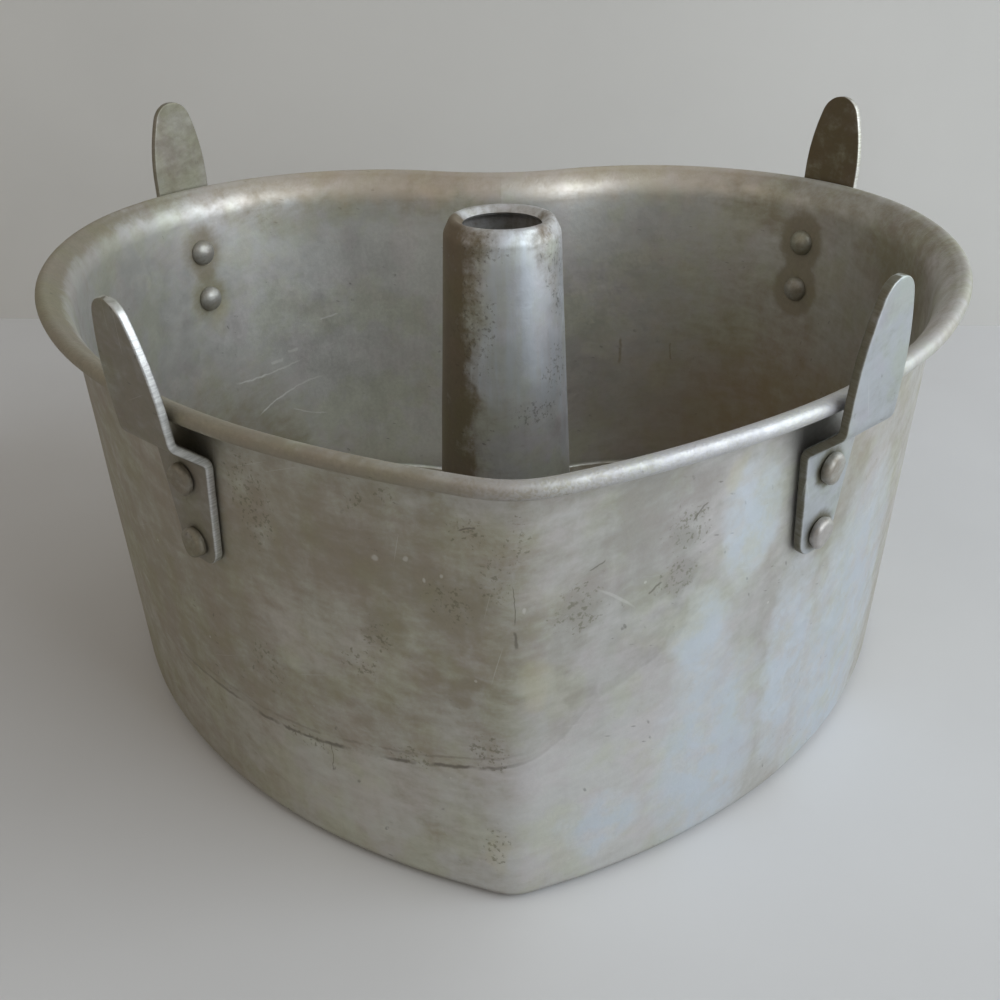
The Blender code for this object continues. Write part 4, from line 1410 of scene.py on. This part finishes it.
def rivet_points():
    """A point in the wall for each rivet, storing the way out of the wall there."""
    spots, axes = [], []
    for (turn, _, _), side, _, _, _ in LEGS.values():
        for height in (LOWER_RIVET, UPPER_RIVET):
            spot = rim_point(turn) + facing(turn) * wall_middle(height)
            spots.append((side * spot.x, spot.y, height))
            axes += (side * facing(turn).x, facing(turn).y, -math.tan(WALL_LEAN))
    mesh = bpy.data.meshes.new("rivet points")
    mesh.from_pydata(spots, [], [])
    mesh.attributes.new("axis", "FLOAT_VECTOR", "POINT").data.foreach_set("vector", axes)
    return mesh


def rivet_material():
    """The rivets' aged metal, dirtier at the front left."""
    material, finish, _ = aged_material("rivet", RIVET_CLEAN, RIVET_DIRT, offset=(5, 5, 9),
                                        relief=0.3 * MM)
    tree = material.node_tree
    here = object_place(tree)
    along = math_node(tree, "ADD", coordinate(tree, here, 0), coordinate(tree, here, 1))
    (start, start_cover), (end, end_cover) = FRONT_LEFT_COVER, OTHER_COVER
    tree.links.new(ramp(tree, along, start, end, start_cover, end_cover),
                   finish.inputs["Film Cover"])
    finish.inputs["Worn"].default_value = RIVET_WORN
    return material


points_holder = bpy.data.objects.new("rivet points", rivet_points())
one_rivet = bpy.data.objects.new("one rivet", rivet_mesh())
for helper in (points_holder, one_rivet):
    bpy.context.scene.collection.objects.link(helper)
rivets_mesh = run_group(points_holder, rivet_group(),
                        {"Rivet": one_rivet, "Material": rivet_material()})
for helper in (points_holder, one_rivet):
    bpy.data.objects.remove(helper)
finished("rivets", rivets_mesh, "pan", "rivet_aluminium",
         *["rivet_" + name + level for name in LEGS for level in ("_lower", "_upper")])

# Studio
# A pale table against a pale wall, a large soft light on the right and a dim, warmer one left.
TABLE_COLOUR = (0.61, 0.605, 0.61)
BACKDROP_COLOUR = (0.6, 0.59, 0.57)
BACKDROP_DISTANCE = 273 * MM
BACKDROP_TURN = math.radians(-3.9)
STAGE_SIZE = 6.0
STAGE_CLOUDS = 160 * MM
STAGE_ROUGHNESS = 0.55

# Each soft light's place, size in metres, power in watts and colour
LIGHTS = {"window light": ((0.95, -0.45, 0.6), 1.15, 13.8, (0.86, 0.94, 1.0)),
          "fill light": ((-1.1, -0.7, 0.9), 1.6, 2.8, (1.0, 0.85, 0.60))}
LIGHT_AIM = Vector((0, 0, 60)) * MM
AIR_COLOUR = (1.0, 0.97, 0.93, 1)
AIR_STRENGTH = 0.345


def stage_plane(name, matrix, colour, one_sided):
    data = bmesh.new()
    bmesh.ops.create_grid(data, x_segments=1, y_segments=1, size=STAGE_SIZE / 2)
    bmesh.ops.transform(data, matrix=matrix, verts=data.verts)
    mesh = bpy.data.meshes.new(name)
    data.to_mesh(mesh)
    data.free()
    material = bpy.data.materials.new(name)
    material.use_nodes = True
    tree = material.node_tree
    shader = tree.nodes["Principled BSDF"]
    cloud = noise(tree, object_place(tree), STAGE_CLOUDS, detail=4)
    tree.links.new(scaled(tree, colour, ramp(tree, cloud, 0.3, 0.7, 0.97, 1.03)),
                   shader.inputs["Base Color"])
    shader.inputs["Roughness"].default_value = STAGE_ROUGHNESS
    if one_sided:
        clear = add(tree, "ShaderNodeBsdfTransparent")
        back = add(tree, "ShaderNodeNewGeometry").outputs["Backfacing"]
        both = add(tree, "ShaderNodeMixShader",
                   {0: back, 1: shader.outputs[0], 2: clear.outputs[0]})
        tree.links.new(both.outputs[0], tree.nodes["Material Output"].inputs["Surface"])
    mesh.materials.append(material)
    thing = bpy.data.objects.new(name, mesh)
    bpy.context.scene.collection.objects.link(thing)


stage_plane("table", Matrix.Identity(4), TABLE_COLOUR, False)
stage_plane("backdrop", Matrix.Translation((0, BACKDROP_DISTANCE, 0))
            @ Matrix.Rotation(BACKDROP_TURN, 4, "Z") @ Matrix.Rotation(math.pi / 2, 4, "X"),
            BACKDROP_COLOUR, True)

for light_name, (place, size, power, colour) in LIGHTS.items():
    lamp = bpy.data.lights.new(light_name, "AREA")
    lamp.shape = "SQUARE"
    lamp.size = size
    lamp.energy = power
    lamp.color = colour
    light = bpy.data.objects.new(light_name, lamp)
    bpy.context.scene.collection.objects.link(light)
    light.location = place
    light.rotation_euler = (LIGHT_AIM - Vector(place)).to_track_quat("-Z", "Y").to_euler()

world = bpy.data.worlds.new("studio")
bpy.context.scene.world = world
world.use_nodes = True
air = world.node_tree.nodes["Background"].inputs
air["Color"].default_value = AIR_COLOUR
air["Strength"].default_value = AIR_STRENGTH
bpy.context.scene.view_settings.view_transform = "Standard"
